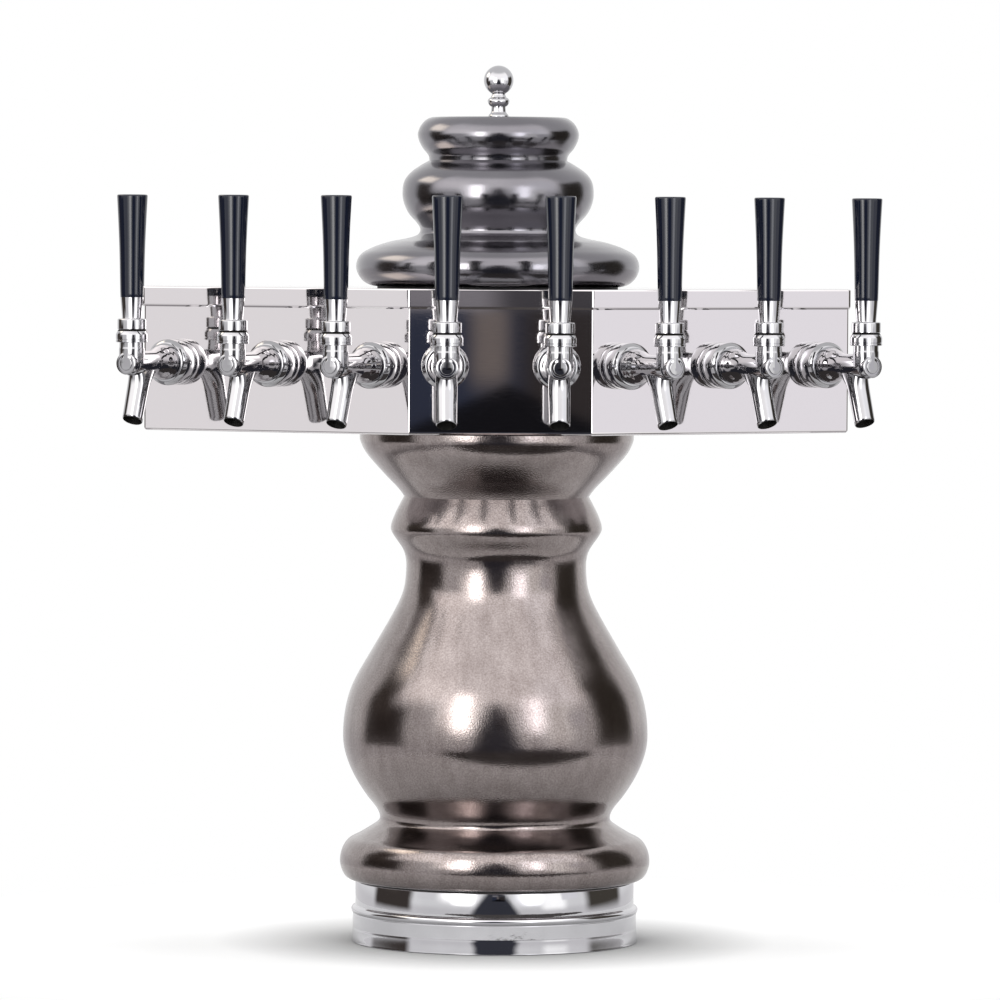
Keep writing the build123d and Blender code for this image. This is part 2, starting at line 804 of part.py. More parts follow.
pivot = (0, -lever_u, pivot_rise)
socket_radius = ball_radius + running_play
dome_radius = hypot(bonnet_radius, bonnet_side_top)
dome_foot_angle = atan2(bonnet_radius, bonnet_side_top)
dome_mouth_angle = radians(bonnet_mouth_angle)
collar_sweep_radius = dome_radius + running_play
neck_end = pivot_rise + neck_top
slot_top = pivot_rise - slot_top_drop
slot_half_width = tail_radius + tail_play

with BuildPart() as faucet_body:
    with BuildSketch(side):
        with BuildLine():
            Polyline(
                (spigot_back, 0),
                (spigot_back, shank_collar_radius),
                (spigot_front, shank_collar_radius),
                (spigot_front, faucet_flange_radius),
                (barrel_back, faucet_flange_radius),
                (barrel_back + faucet_taper_length, barrel_radius),
                (lever_u + nose_shoulder, barrel_radius),
                (lever_u + nose_shoulder, nose_radius),
                (nose_end, nose_radius),
                (nose_end, nose_ring_radius),
                (nose_end - nose_ring_depth, nose_ring_radius),
                (nose_end - nose_ring_depth, nose_disc_radius),
                (nose_end, nose_disc_radius),
                (nose_end, 0),
                close=True,
            )
        make_face()
    revolve(axis=tap_axis)
    with BuildSketch(Plane((0, -lever_u, 0))):
        Circle(neck_radius)
    extrude(amount=neck_end)
    gusset_middle = (0, gusset_setback - spout_root_u, -gusset_top)
    with BuildSketch(Plane(origin=gusset_middle, x_dir=(1, 0, 0), z_dir=(0, 0, -1))):
        Ellipse(gusset_half_width, gusset_half_length)
    with BuildSketch(spout_plane(gusset_length)):
        Circle(spout_root_radius)
    loft()
    with BuildSketch(spout_plane(gusset_length)):
        Circle(spout_root_radius)
    with BuildSketch(spout_plane(spout_length)):
        Circle(spout_mouth_radius)
    loft()
    with BuildSketch(out_of_panel(spigot_back)):
        Circle(bore_radius)
    extrude(amount=nose_end - bore_end_wall - spigot_back, mode=Mode.SUBTRACT)
    with BuildSketch(spout_plane(0)):
        Circle(spout_bore_radius)
    extrude(amount=spout_length, mode=Mode.SUBTRACT)
    with Locations(pivot):
        Sphere(socket_radius, mode=Mode.SUBTRACT)
    with BuildSketch(side):
        with BuildLine():
            Polyline(
                (lever_u + slot_half_width, 0),
                (lever_u + slot_half_width, slot_top),
                (lever_u - tail_reach(slot_top), slot_top),
                (lever_u - tail_reach(tail_radius), tail_radius),
                (lever_u - tail_reach(tail_radius), 0),
                close=True,
            )
        make_face()
    extrude(amount=slot_half_width, both=True, mode=Mode.SUBTRACT)

with BuildPart() as bonnet:
    with BuildSketch(side):
        with BuildLine():
            Polyline(
                on_dome(dome_mouth_angle),
                (lever_u + bonnet_lip_radius, pivot_rise + bonnet_lip_height),
                (lever_u + ball_radius / 2, neck_end + thread_play),
                (lever_u + neck_radius + thread_play, neck_end + thread_play),
                (lever_u + neck_radius + thread_play, neck_end - bonnet_skirt),
                (lever_u + bonnet_radius, neck_end - bonnet_skirt),
                on_dome(dome_foot_angle),
            )
            ThreePointArc(
                on_dome(dome_foot_angle),
                on_dome((dome_foot_angle + dome_mouth_angle) / 2),
                on_dome(dome_mouth_angle),
            )
        make_face()
        with Locations((lever_u, pivot_rise)):
            Circle(socket_radius, mode=Mode.SUBTRACT)
    revolve(axis=lever_axis)
at_every_tap(bonnet.part, "faucet_bonnets")


# ---- lever, handle and plunger ----

collar_bottom = pivot_rise + lever_collar_bottom
collar_top = pivot_rise + lever_collar_top
ferrule_bottom = collar_top + thread_play
handle_bottom = ferrule_bottom + ferrule_length
handle_top = handle_bottom + handle_length
stem_bore = stem_radius + thread_play

with BuildPart() as lever_stem:
    with Locations(pivot):
        Sphere(ball_radius)
    with Locations((0, -lever_u, 0)):
        Sphere(tail_radius)
    with BuildSketch(Plane((0, -lever_u, 0))):
        Circle(tail_radius)
    extrude(amount=pivot_rise)
    with BuildSketch(Plane(pivot)):
        Circle(stem_radius)
    extrude(amount=handle_bottom + stem_in_handle - pivot_rise)

with BuildPart() as lever_collar:
    with BuildSketch(side):
        with Locations((lever_u + stem_bore, collar_bottom)):
            Rectangle(
                lever_collar_radius - stem_bore,
                collar_top - collar_bottom,
                align=(Align.MIN, Align.MIN),
            )
        with Locations((lever_u, pivot_rise)):
            Circle(collar_sweep_radius, mode=Mode.SUBTRACT)
    revolve(axis=lever_axis)
    top_edges = lever_collar.edges().group_by(Axis.Z)[-1]
    fillet(top_edges.sort_by(SortBy.RADIUS)[-1], radius=lever_collar_edge_radius)

with BuildPart() as ferrule:
    with BuildSketch(side):
        with BuildLine():
            Polyline(
                (lever_u + stem_bore, ferrule_bottom),
                (lever_u + ferrule_bottom_radius, ferrule_bottom),
                (lever_u + ferrule_top_radius, handle_bottom),
                (lever_u + stem_bore, handle_bottom),
                close=True,
            )
        make_face()
    revolve(axis=lever_axis)

with BuildPart() as lever:
    add(lever_stem.part)
    add(lever_collar.part)
    add(ferrule.part)

with BuildPart() as handle:
    with BuildSketch(side):
        with BuildLine():
            low = (lever_u + ferrule_top_radius, handle_bottom)
            high = (lever_u + handle_top_radius, handle_top)
            middle_radius = (ferrule_top_radius + handle_top_radius) / 2 - handle_waist
            ThreePointArc(low, (lever_u + middle_radius, (handle_bottom + handle_top) / 2), high)
            Polyline(high, (lever_u, handle_top), (lever_u, handle_bottom), low)
        make_face()
    revolve(axis=lever_axis)
    fillet(handle.edges().group_by(Axis.Z)[-1], radius=handle_edge_radius)
    with BuildSketch(Plane((0, -lever_u, handle_bottom))):
        Circle(stem_bore)
    extrude(amount=stem_in_handle + play, mode=Mode.SUBTRACT)

washer_front = spigot_back - running_play
washer_back = washer_front - seat_washer_thickness
head_front_face = washer_back - thread_play
guide_front = nose_end - bore_end_wall - running_play
guide_radius = bore_radius - running_play
slot_half = tail_radius + tail_play / 2

with BuildPart() as plunger_rod:
    with BuildSketch(side):
        with BuildLine():
            Polyline(
                (head_front_face - plunger_head_length, 0),
                (head_front_face - plunger_head_length, plunger_head_radius),
                (head_front_face, plunger_head_radius),
                (head_front_face, plunger_rod_radius),
                (lever_u - plunger_guide_back, plunger_rod_radius),
                (lever_u - plunger_guide_back, guide_radius),
                (guide_front, guide_radius),
                (guide_front, 0),
                close=True,
            )
        make_face()
    revolve(axis=tap_axis)
    with BuildSketch(side):
        with BuildLine():
            Polyline(
                (lever_u - slot_half, -slot_half_width),
                (lever_u + slot_half, -slot_half_width),
                (lever_u + slot_half, 0),
                (lever_u + tail_front(bore_radius), bore_radius),
                (lever_u - slot_half, bore_radius),
                close=True,
            )
        make_face()
    extrude(amount=slot_half_width, both=True, mode=Mode.SUBTRACT)

with BuildPart() as seat_washer:
    with BuildSketch(out_of_panel(washer_back)):
        Circle(seat_washer_radius)
        Circle(plunger_rod_radius + thread_play, mode=Mode.SUBTRACT)
    extrude(amount=seat_washer_thickness)

with BuildPart() as plunger:
    add(plunger_rod.part)
    add(seat_washer.part)

for number, seat in enumerate(tap_seats, 1):
    save(faucet_body.part.moved(seat), f"tap_{number}_body")
    save(lever.part.moved(seat), f"tap_{number}_lever")
    save(handle.part.moved(seat), f"tap_{number}_handle")
    save(plunger.part.moved(seat), f"tap_{number}_plunger")


# ---- tubes: each beer line leaves a shank's tail and drops down the column ----


def bead_on(tube, radius):
    """The stop bead round a tube's lower end, as a ring outside its wall."""
    with BuildPart() as bead:
        with BuildSketch(Plane((tube.X, tube.Y, tube_end_height + tube_plain_length))):
            Circle(radius + tube_bead_rise)
            Circle(radius - line_wall / 2, mode=Mode.SUBTRACT)
        extrude(amount=tube_bead_length)
    return bead.part


def beer_line(seat, drop):
    """One line from the tail of its shank to its plain end under the base."""
    tail = (seat * Location((0, shank_tail, 0))).position
    turn = (seat * Location((0, shank_tail + line_tail_run, 0))).position
    top = (drop.X, drop.Y, tap_height)
    end = (drop.X, drop.Y, tube_end_height)
    with BuildPart() as line:
        with BuildLine() as route:
            FilletPolyline(tail, turn, top, end, radius=line_bend_radius)
        with BuildSketch(Plane(origin=tail, z_dir=route.line % 0)):
            Circle(line_radius)
            Circle(line_bore, mode=Mode.SUBTRACT)
        sweep()
    return line.part


tap_count = len(tap_seats)
drops = [
    Vector(bundle_radius, 0).rotate(Axis.Z, 90 + 360 / tap_count * (number + 0.5))
    for number in range(tap_count)
]
lines = [beer_line(seat, drop) for seat, drop in zip(tap_seats, drops)]
line_beads = [bead_on(drop, line_radius) for drop in drops]

with BuildPart() as beer_lines:
    add(lines)
    add(line_beads)
save(beer_lines.part, "beer_lines")

loop_top = head_floor + coolant_rise
coolant_beads = [
    bead_on(Vector(hand * coolant_bend_radius, 0), coolant_radius) for hand in (-1, 1)
]

with BuildPart() as coolant_loop:
    with BuildLine(Plane.XZ) as loop:
        Line((coolant_bend_radius, tube_end_height), (coolant_bend_radius, loop_top))
        CenterArc((0, loop_top), coolant_bend_radius, 0, 180)
        Line((-coolant_bend_radius, loop_top), (-coolant_bend_radius, tube_end_height))
    with BuildSketch(Plane((coolant_bend_radius, 0, tube_end_height))):
        Circle(coolant_radius)
        Circle(coolant_radius - coolant_wall, mode=Mode.SUBTRACT)
    sweep()
    add(coolant_beads)
save(coolant_loop.part, "coolant_loop")

spacer_heights = (plate_top + tube_end_height + spacer_inset, body_top - spacer_inset)

with BuildPart() as line_spacers:
    with BuildSketch(*[Plane.XY.offset(height) for height in spacer_heights]):
        Circle(column_bore - thread_play)
        with PolarLocations(bundle_radius, tap_count, start_angle=180 / tap_count):
            Circle(line_radius + thread_play, mode=Mode.SUBTRACT)
        with PolarLocations(coolant_bend_radius, 2):
            Circle(coolant_radius + thread_play, mode=Mode.SUBTRACT)
    extrude(amount=spacer_thickness)
save(line_spacers.part, "line_spacers")
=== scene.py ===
"""Looks of the beer tower dispenser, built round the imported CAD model.

Sizes are in millimetres and become metres where a mesh is made. The tower stands on the
origin, +Z is up and the taps face -Y. A tap's own parts are drawn in the frame of its seat:
x to the right, -y out of the panel, z up, with the origin on the panel at the shank's axis.
"""

from functools import partial
from math import atan2, ceil, cos, pi, radians, sin

import bmesh
import bpy
from mathutils import Matrix, Quaternion, Vector


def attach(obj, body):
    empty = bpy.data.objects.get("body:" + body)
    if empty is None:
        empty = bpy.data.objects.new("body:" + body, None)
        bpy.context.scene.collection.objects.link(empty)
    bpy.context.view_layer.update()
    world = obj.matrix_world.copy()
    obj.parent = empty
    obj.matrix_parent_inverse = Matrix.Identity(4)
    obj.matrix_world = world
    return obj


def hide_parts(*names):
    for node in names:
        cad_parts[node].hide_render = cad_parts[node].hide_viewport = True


MM = 0.001
CIRCLE = 2 * pi

# ---- sizes shared by several parts ----
TAP_HEIGHT = 514.8           # of the shanks' axes
TAP_PITCH = 101.0            # along a wing
MIDDLE_PITCH = 97.5          # between the two taps of the middle panel
MIDDLE_HALF = 80.0           # of the head's middle panel
HEAD_FRONT = 110.0           # from the tower's axis, and the back is as far
WING_LENGTH = 265.0
WING_SWEEP = 28.0            # degrees, back from the middle panel
FIRST_WING_TAP = 30.0        # from the bend, along the wing
BODY_BOTTOM = 55.5
BODY_TOP = 453.8
BODY_RIM = 122.0             # radius of the body shell's top edge
HEAD_TOP = 581.8
HEAD_BEND = 2.5              # radius of the upright bends
BESIDE_BEND = 0.4            # a close pair of points there keeps the flat panels flat
SHEET = 1.5
LID_DEPTH = 17.8
LID_OVERHANG = 2.0
CAP_BOTTOM = 583.0
CAP_TOP = 733.2
BODY_BORE = 60.6             # round the column's flange
COLUMN_BORE = 38.0           # round the column, in the head's floor
SHANK_BORE = 11.05           # round a shank
NECK_BORE = 11.05            # round a faucet's neck, in the bonnet
STUD_BORE = 4.05             # round the tie rod and the stud of a handle
LEVER_OUT = 80.7             # of the lever's axis, from the panel
PIVOT = 20.0                 # of the lever's ball, above the shank's axis
UP_AXIS = Matrix.Identity(4)
TAP_AXIS = Matrix.Rotation(pi / 2, 4, "X")       # turns +Z to -Y, out of the panel
LEVER_AXIS = Matrix.Translation((0, -LEVER_OUT, 0))


# ---- meshes ----


def outline(anchors, step):
    """Points of a smooth outline. An anchor is (radius, height, direction in, direction out)
    with directions of travel in degrees, 0 outward and 90 up; none at all means straight."""
    points = []
    for start, end in zip(anchors, anchors[1:]):
        first, last = Vector(start[:2]), Vector(end[:2])
        chord = last - first
        if len(start) > 2 and len(end) > 2:
            leave = radians(start[-1])
            arrive = radians(end[2])
            pull = Vector((cos(leave), sin(leave))) * chord.length
            push = Vector((cos(arrive), sin(arrive))) * chord.length
            count = max(3, ceil(chord.length / step))
        else:
            pull = push = chord
            count = 1
        for number in range(count):
            s = number / count
            points.append(
                first * (2 * s**3 - 3 * s**2 + 1)
                + pull * (s**3 - 2 * s**2 + s)
                + last * (3 * s**2 - 2 * s**3)
                + push * (s**3 - s**2)
            )
    points.append(Vector(anchors[-1][:2]))
    return points


def lathe(bm, loop, place=UP_AXIS, segments=128):
    """Turn a closed loop of (radius, height) points round the Z axis of a place."""
    rings = []
    for radius, height in loop:
        if radius < 1e-6:
            rings.append([bm.verts.new(place @ Vector((0, 0, height)))])
            continue
        ring = []
        for number in range(segments):
            turn = CIRCLE * number / segments
            point = Vector((radius * cos(turn), radius * sin(turn), height))
            ring.append(bm.verts.new(place @ point))
        rings.append(ring)
    for lower, upper in zip(rings, rings[1:] + rings[:1]):
        if len(lower) == 1 and len(upper) == 1:
            continue
        for number in range(segments):
            nxt = (number + 1) % segments
            corners = [lower[number % len(lower)], lower[nxt % len(lower)],
                       upper[nxt % len(upper)], upper[number % len(upper)]]
            bm.faces.new(list(dict.fromkeys(corners)))


def stack(bm, rings):
    """Join rings of points, each as long as the last, into one skin with flat ends."""
    made = [[bm.verts.new(point) for point in ring] for ring in rings]
    for lower, upper in zip(made, made[1:]):
        for number in range(len(lower)):
            nxt = (number + 1) % len(lower)
            bm.faces.new((lower[number], lower[nxt], upper[nxt], upper[number]))
    bm.faces.new(list(reversed(made[0])))
    bm.faces.new(made[-1])


def add_object(name, data):
    """An object in the scene for a mesh, a light or a camera."""
    made = bpy.data.objects.new(name, data)
    bpy.context.scene.collection.objects.link(made)
    return made


def mesh_from(name, bm):
    """A mesh from a working mesh, which is spent."""
    mesh = bpy.data.meshes.new(name)
    bm.to_mesh(mesh)
    bm.free()
    return mesh


def piece(name, bm, places=(UP_AXIS,), sharp=32.0):
    """An object from a mesh in millimetres, with a copy of it at each place."""
    bmesh.ops.recalc_face_normals(bm, faces=bm.faces)
    single = mesh_from(name + "_one", bm)
    joined = bmesh.new()
    for place in places:
        copy = single.copy()
        copy.transform(Matrix.Scale(MM, 4) @ place)
        joined.from_mesh(copy)
        bpy.data.meshes.remove(copy)
    bpy.data.meshes.remove(single)
    mesh = mesh_from(name, joined)
    mesh.shade_smooth()
    mesh.set_sharp_from_angle(angle=radians(sharp))
    return add_object(name, mesh)


WELD = 0.002                 # points closer than this become one after a boolean


def carve(bm, steps):
    """Apply boolean steps, pairs of an operation and a mesh, to a mesh in turn."""
    bmesh.ops.recalc_face_normals(bm, faces=bm.faces)
    base = add_object("base", mesh_from("base", bm))
    tools = []
    for operation, shape in steps:
        bmesh.ops.recalc_face_normals(shape, faces=shape.faces)
        tool = add_object("tool", mesh_from("tool", shape))
        step = base.modifiers.new("step", "BOOLEAN")
        step.operation = operation
        step.solver = "EXACT"
        step.object = tool
        tools.append(tool)
    graph = bpy.context.evaluated_depsgraph_get()
    result = bmesh.new()
    result.from_mesh(base.evaluated_get(graph).to_mesh())
    for spare in [base] + tools:
        mesh = spare.data
        bpy.data.objects.remove(spare)
        bpy.data.meshes.remove(mesh)
    bmesh.ops.remove_doubles(result, verts=result.verts, dist=WELD)
    bmesh.ops.dissolve_degenerate(result, edges=result.edges, dist=WELD)
    return result


def turned(loop, place=UP_AXIS, segments=128):
    """A fresh mesh with one turned solid in it."""
    bm = bmesh.new()
    lathe(bm, loop, place, segments)
    return bm


def rod_loop(radius, low, high):
    """The loop of a plain round rod."""
    return [(0, low), (radius, low), (radius, high), (0, high)]


def seats():
    """Where the eight shanks leave the panels, from the left to the right."""
    places = []
    sweep = radians(WING_SWEEP)
    for hand in (-1, 1):
        wing = []
        for number in range(3):
            along = FIRST_WING_TAP + number * TAP_PITCH
            x = hand * (MIDDLE_HALF + along * cos(sweep))
            y = -HEAD_FRONT + along * sin(sweep)
            turn = Matrix.Rotation(hand * sweep, 4, "Z")
            wing.append(Matrix.Translation((x, y, TAP_HEIGHT)) @ turn)
        middle = Matrix.Translation((hand * MIDDLE_PITCH / 2, -HEAD_FRONT, TAP_HEIGHT))
        places += wing[::-1] + [middle] if hand < 0 else [middle] + wing
    return places


SEATS = seats()


# ---- materials ----


def shader(name, colour, metallic, roughness, **extra):
    """A material and its main shader, with what is the same all over set on the sockets."""
    material = bpy.data.materials.new(name)
    material.use_nodes = True
    main = material.node_tree.nodes["Principled BSDF"]
    main.inputs["Base Color"].default_value = (*colour, 1)
    main.inputs["Metallic"].default_value = metallic
    main.inputs["Roughness"].default_value = roughness
    for socket, value in extra.items():
        main.inputs[socket.replace("_", " ")].default_value = value
    return material, main


def noise(material, scale, detail=3.0, stretch=(1, 1, 1)):
    """Noise over the object's own coordinates, in metres, as a factor socket."""
    nodes, links = material.node_tree.nodes, material.node_tree.links
    place = nodes.new("ShaderNodeTexCoord")
    mapping = nodes.new("ShaderNodeMapping")
    mapping.inputs["Scale"].default_value = stretch
    texture = nodes.new("ShaderNodeTexNoise")
    texture.inputs["Scale"].default_value = scale
    texture.inputs["Detail"].default_value = detail
    links.new(place.outputs["Object"], mapping.inputs["Vector"])
    links.new(mapping.outputs["Vector"], texture.inputs["Vector"])
    return texture.outputs["Fac"]


NOISE_LOW, NOISE_HIGH = 0.3, 0.7     # the range that noise mostly stays in


def spread(material, factor, low, high, socket):
    """Drive a number socket between two values with a factor."""
    nodes, links = material.node_tree.nodes, material.node_tree.links
    span = nodes.new("ShaderNodeMapRange")
    span.inputs["From Min"].default_value = NOISE_LOW
    span.inputs["From Max"].default_value = NOISE_HIGH
    span.inputs["To Min"].default_value = low
    span.inputs["To Max"].default_value = high
    links.new(factor, span.inputs["Value"])
    links.new(span.outputs["Result"], socket)


def tint(material, factor, dark, light, socket):
    """Drive a colour socket between two colours with a factor."""
    nodes, links = material.node_tree.nodes, material.node_tree.links
    ramp = nodes.new("ShaderNodeValToRGB")
    for element, position, colour in zip(
        ramp.color_ramp.elements, (NOISE_LOW, NOISE_HIGH), (dark, light)
    ):
        element.position = position
        element.color = (*colour, 1)
    links.new(factor, ramp.inputs["Fac"])
    links.new(ramp.outputs["Color"], socket)


def bump(material, main, factor, depth, strength):
    """Raise the surface by a factor, depth in metres."""
    nodes, links = material.node_tree.nodes, material.node_tree.links
    raised = nodes.new("ShaderNodeBump")
    raised.inputs["Distance"].default_value = depth
    raised.inputs["Strength"].default_value = strength
    links.new(factor, raised.inputs["Height"])
    links.new(raised.outputs["Normal"], main.inputs["Normal"])


def make_chrome(name, level):
    """Plated brass: bright and cool, with the slight waviness of hand polishing."""
    material, main = shader(name, (level, level, level), 1.0, 0.04)
    dark, light = [(shade, 0.992 * shade, 1.03 * shade) for shade in (0.95 * level, 1.04 * level)]
    tint(material, noise(material, 35.0, 4.0), dark, light, main.inputs["Base Color"])
    spread(material, noise(material, 60.0), 0.02, 0.055, main.inputs["Roughness"])
    bump(material, main, noise(material, 160.0), 0.0004, 0.05)
    return material


def make_polished_sheet():
    """Polished stainless sheet: a fine upright grain, and slow waves in the mirror."""
    material, main = shader("polished_sheet", (0.72, 0.69, 0.70), 1.0, 0.04)
    brushed = noise(material, 90.0, stretch=(1, 1, 14))
    spread(material, brushed, 0.03, 0.06, main.inputs["Roughness"])
    bump(material, main, noise(material, 9.0, 1.0), 0.002, 0.02)
    return material


def make_body_coat():
    """Metallic paint: fine flakes that tilt the mirror and vary the tint, and upright streaks."""
    material, main = shader("body_coat", (0.26, 0.226, 0.22), 1.0, 0.2)
    streaks = noise(material, 85.0, 5.0, stretch=(1, 1, 0.14))
    flakes = noise(material, 700.0, 0.0)
    nodes, links = material.node_tree.nodes, material.node_tree.links
    both = nodes.new("ShaderNodeMix")
    both.inputs["Factor"].default_value = 0.5
    links.new(streaks, both.inputs["A"])
    links.new(flakes, both.inputs["B"])
    tint(material, both.outputs["Result"], (0.205, 0.172, 0.166), (0.325, 0.287, 0.281),
         main.inputs["Base Color"])
    cloud = noise(material, 30.0, 4.0)
    spread(material, cloud, 0.12, 0.19, main.inputs["Roughness"])
    bump(material, main, noise(material, 900.0, 0.0), 0.0002, 0.32)
    return material


def make_cap_coat():
    """The same paint laid on smoother, with a cooler, darker grey as painted light: the tint
    stands in for the cooler surroundings that the cap mirrors.
    """
    material, main = shader("cap_coat", (0.2, 0.193, 0.21), 1.0, 0.2)
    cloud = noise(material, 22.0, 4.0)
    tint(material, cloud, (0.182, 0.175, 0.192), (0.216, 0.209, 0.227), main.inputs["Base Color"])
    streaks = noise(material, 40.0, 3.0, stretch=(0.3, 0.3, 3))
    spread(material, streaks, 0.14, 0.21, main.inputs["Roughness"])
    bump(material, main, noise(material, 900.0, 0.0), 0.0002, 0.2)
    return material


def make_black_handle():
    """Glossy moulded plastic, black with a little blue."""
    material, main = shader("black_handle", (0.010, 0.0135, 0.030), 0.0, 0.05, IOR=1.45)
    spread(material, noise(material, 120.0), 0.03, 0.07, main.inputs["Roughness"])
    bump(material, main, noise(material, 300.0), 0.0002, 0.04)
    return material


def make_steel():
    """Plain stainless steel, drawn along its height."""
    material, main = shader("steel", (0.5, 0.5, 0.51), 1.0, 0.3)
    grain = noise(material, 180.0, stretch=(1, 1, 8))
    spread(material, grain, 0.24, 0.38, main.inputs["Roughness"])
    tint(material, grain, (0.44, 0.44, 0.45), (0.56, 0.56, 0.57), main.inputs["Base Color"])
    return material


def make_copper():
    """Bare copper with dull spots."""
    material, main = shader("copper", (0.6, 0.28, 0.16), 1.0, 0.3)
    cloud = noise(material, 70.0, 5.0)
    tint(material, cloud, (0.4, 0.17, 0.1), (0.68, 0.34, 0.2), main.inputs["Base Color"])
    spread(material, cloud, 0.25, 0.42, main.inputs["Roughness"])
    return material


def make_rubber():
    """Matt black rubber with a fine grain."""
    material, main = shader("rubber", (0.02, 0.02, 0.02), 0.0, 0.6)
    cloud = noise(material, 140.0)
    tint(material, cloud, (0.014, 0.014, 0.015), (0.028, 0.028, 0.029), main.inputs["Base Color"])
    bump(material, main, noise(material, 900.0), 0.0002, 0.3)
    return material


def make_plastic():
    """Pale plastic of the discs in the column."""
    material, main = shader("spacer_plastic", (0.5, 0.5, 0.48), 0.0, 0.45)
    cloud = noise(material, 60.0)
    tint(material, cloud, (0.46, 0.46, 0.44), (0.54, 0.54, 0.52), main.inputs["Base Color"])
    return material


def make_foam():
    """Open, yellowish foam."""
    material, main = shader("foam", (0.75, 0.68, 0.48), 0.0, 0.9)
    cells = noise(material, 400.0, 5.0)
    tint(material, cells, (0.6, 0.52, 0.34), (0.82, 0.76, 0.58), main.inputs["Base Color"])
    bump(material, main, cells, 0.001, 0.5)
    return material


def make_painted_shade():
    """Near-black painted shade for the inside of a spout, where shade falls; the bonnets' domes
    take it too.
    """
    material, main = shader("painted_shade_dark", (0.012, 0.011, 0.011), 0.0, 0.6, Specular_IOR_Level=0.1)
    cloud = noise(material, 300.0)
    tint(material, cloud, (0.006, 0.006, 0.006), (0.02, 0.018, 0.017), main.inputs["Base Color"])
    return material


# One chrome at four levels: the finial's, the cast parts' and the turned parts' copies are darker
# than the base ring's as painted shade, for the dimmer light round the taps and the finial.
CHROME = make_chrome("base_chrome", 0.6)
FINIAL_CHROME_SHADED = make_chrome("finial_chrome_shaded", 0.47)
CAST_CHROME_SHADED = make_chrome("cast_chrome_shaded", 0.40)
TURNED_CHROME_SHADED = make_chrome("turned_chrome_shaded", 0.46)
# Painted shade, laid inside the spouts and on the bonnets' domes under the collars.
PAINTED_SHADE = make_painted_shade()
POLISHED = make_polished_sheet()
BODY_COAT = make_body_coat()
CAP_COAT_PAINTED_LIGHT = make_cap_coat()
BLACK = make_black_handle()
STEEL = make_steel()
COPPER = make_copper()
RUBBER = make_rubber()
PLASTIC = make_plastic()
FOAM = make_foam()


def finish_piece(made, material, slot, body, *nodes):
    """Give a piece its material, the body it rides on and the nodes it replaces; the slot is not
    used.
    """
    made.data.materials.append(material)
    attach(made, body)
    if nodes:
        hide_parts(*nodes)


# ---- tower: base, body, cap and finial ----

# Anchors of an outline, as outline() takes them, from the bottom up.
BODY_SIDE = (
    (128.0, BODY_BOTTOM, 0),
    (138.0, 71.5, 90),
    (130.8, 89.9, 137),
    (122.8, 94.4, 152),
    (108.6, 103.0, 147),
    (102.4, 110.0, 90),
    (106.6, 120.2, 54),
    (114.4, 130.0, 54),
    (125.6, 147.8, 62),
    (135.7, 183.3, 90),
    (129.6, 223.0, 109),
    (110.8, 258.8, 120),
    (90.3, 294.6, 118),
    (81.2, 319.0, 98),
    (80.1, 334.3, 90),
    (82.5, 348.0, 66),
    (91.4, 361.6, 58),
    (94.0, 368.2, 90),
    (91.2, 378.6, 111),
    (82.4, 396.4, 116, 60),
    (98.3, 414.6, 47),
    (114.4, 432.5, 51),
    (119.9, 441.6, 68),
    (BODY_RIM, 448.6, 90),
)


def build_body_shell():
    """One turned shell, with flat rings at both ends and a hollow that follows the outside."""
    wall = 5.0
    outside = outline(BODY_SIDE, 1.6)
    inside = [point - Vector((wall, 0)) for point in outline(BODY_SIDE, 8.0)
              if BODY_BOTTOM + wall < point.y < BODY_TOP - wall]
    loop = outside + [Vector((BODY_RIM, BODY_TOP)), Vector((BODY_BORE, BODY_TOP))]
    loop += [Vector((BODY_BORE, BODY_TOP - wall)), Vector((BODY_RIM - wall, BODY_TOP - wall))]
    loop += inside[::-1]
    loop += [Vector((BODY_BORE, BODY_BOTTOM + wall)), Vector((BODY_BORE, BODY_BOTTOM))]
    made = piece("body_shell_turned", turned(loop, segments=192))
    finish_piece(made, BODY_COAT, "body_coat", "root", "body_shell")


def build_base_ring():
    """Two bands with a bead between them, a foot that flares a little, and an inner ledge."""
    loop = outline(
        (
            (127.4, 0.0),
            (127.7, 0.4),
            (127.6, 1.0, 96),
            (126.6, 11.0, 93),
            (126.4, 13.0, 90),
            (126.4, 24.6),
            (126.2, 24.9),
            (126.2, 25.4, 20),
            (127.9, 28.5, 90),
            (125.6, 31.6, 160),
            (124.6, 32.2),
            (124.2, 32.5),
            (124.2, 33.0),
            (124.2, 53.0),
            (123.6, 54.0),
            (100.2, 54.0),
            (100.2, 50.0),
            (120.2, 50.0),
            (120.2, 28.5),
            (122.4, 26.5),
            (122.4, 0.0),
        ),
        0.8,
    )
    made = piece("base_ring_turned", turned(loop, segments=256))
    finish_piece(made, CHROME, "chrome", "root", "base_ring")


CAP_SIDE = (
    (107.0, CAP_BOTTOM, 0),
    (119.6, 587.6, 42),
    (125.9, 600.7, 90),
    (121.8, 611.2, 133),
    (112.6, 616.8, 154),
    (97.0, 622.3, 164),
    (76.0, 626.9, 162),
    (69.6, 631.0, 112, 100),
    (69.0, 633.2, 90),
    (71.4, 638.4, 54),
    (79.8, 648.4, 58),
    (85.0, 665.5, 90),
    (83.0, 677.3, 115),
    (77.2, 684.6, 138),
    (67.2, 691.5, 148),
    (61.2, 694.9, 146, 80),
    (61.9, 698.7, 68),
    (67.2, 705.8, 58),
    (71.6, 717.8, 90),
    (69.9, 724.0, 115),
    (64.8, 730.4, 142),
    (58.0, CAP_TOP, 180),
)


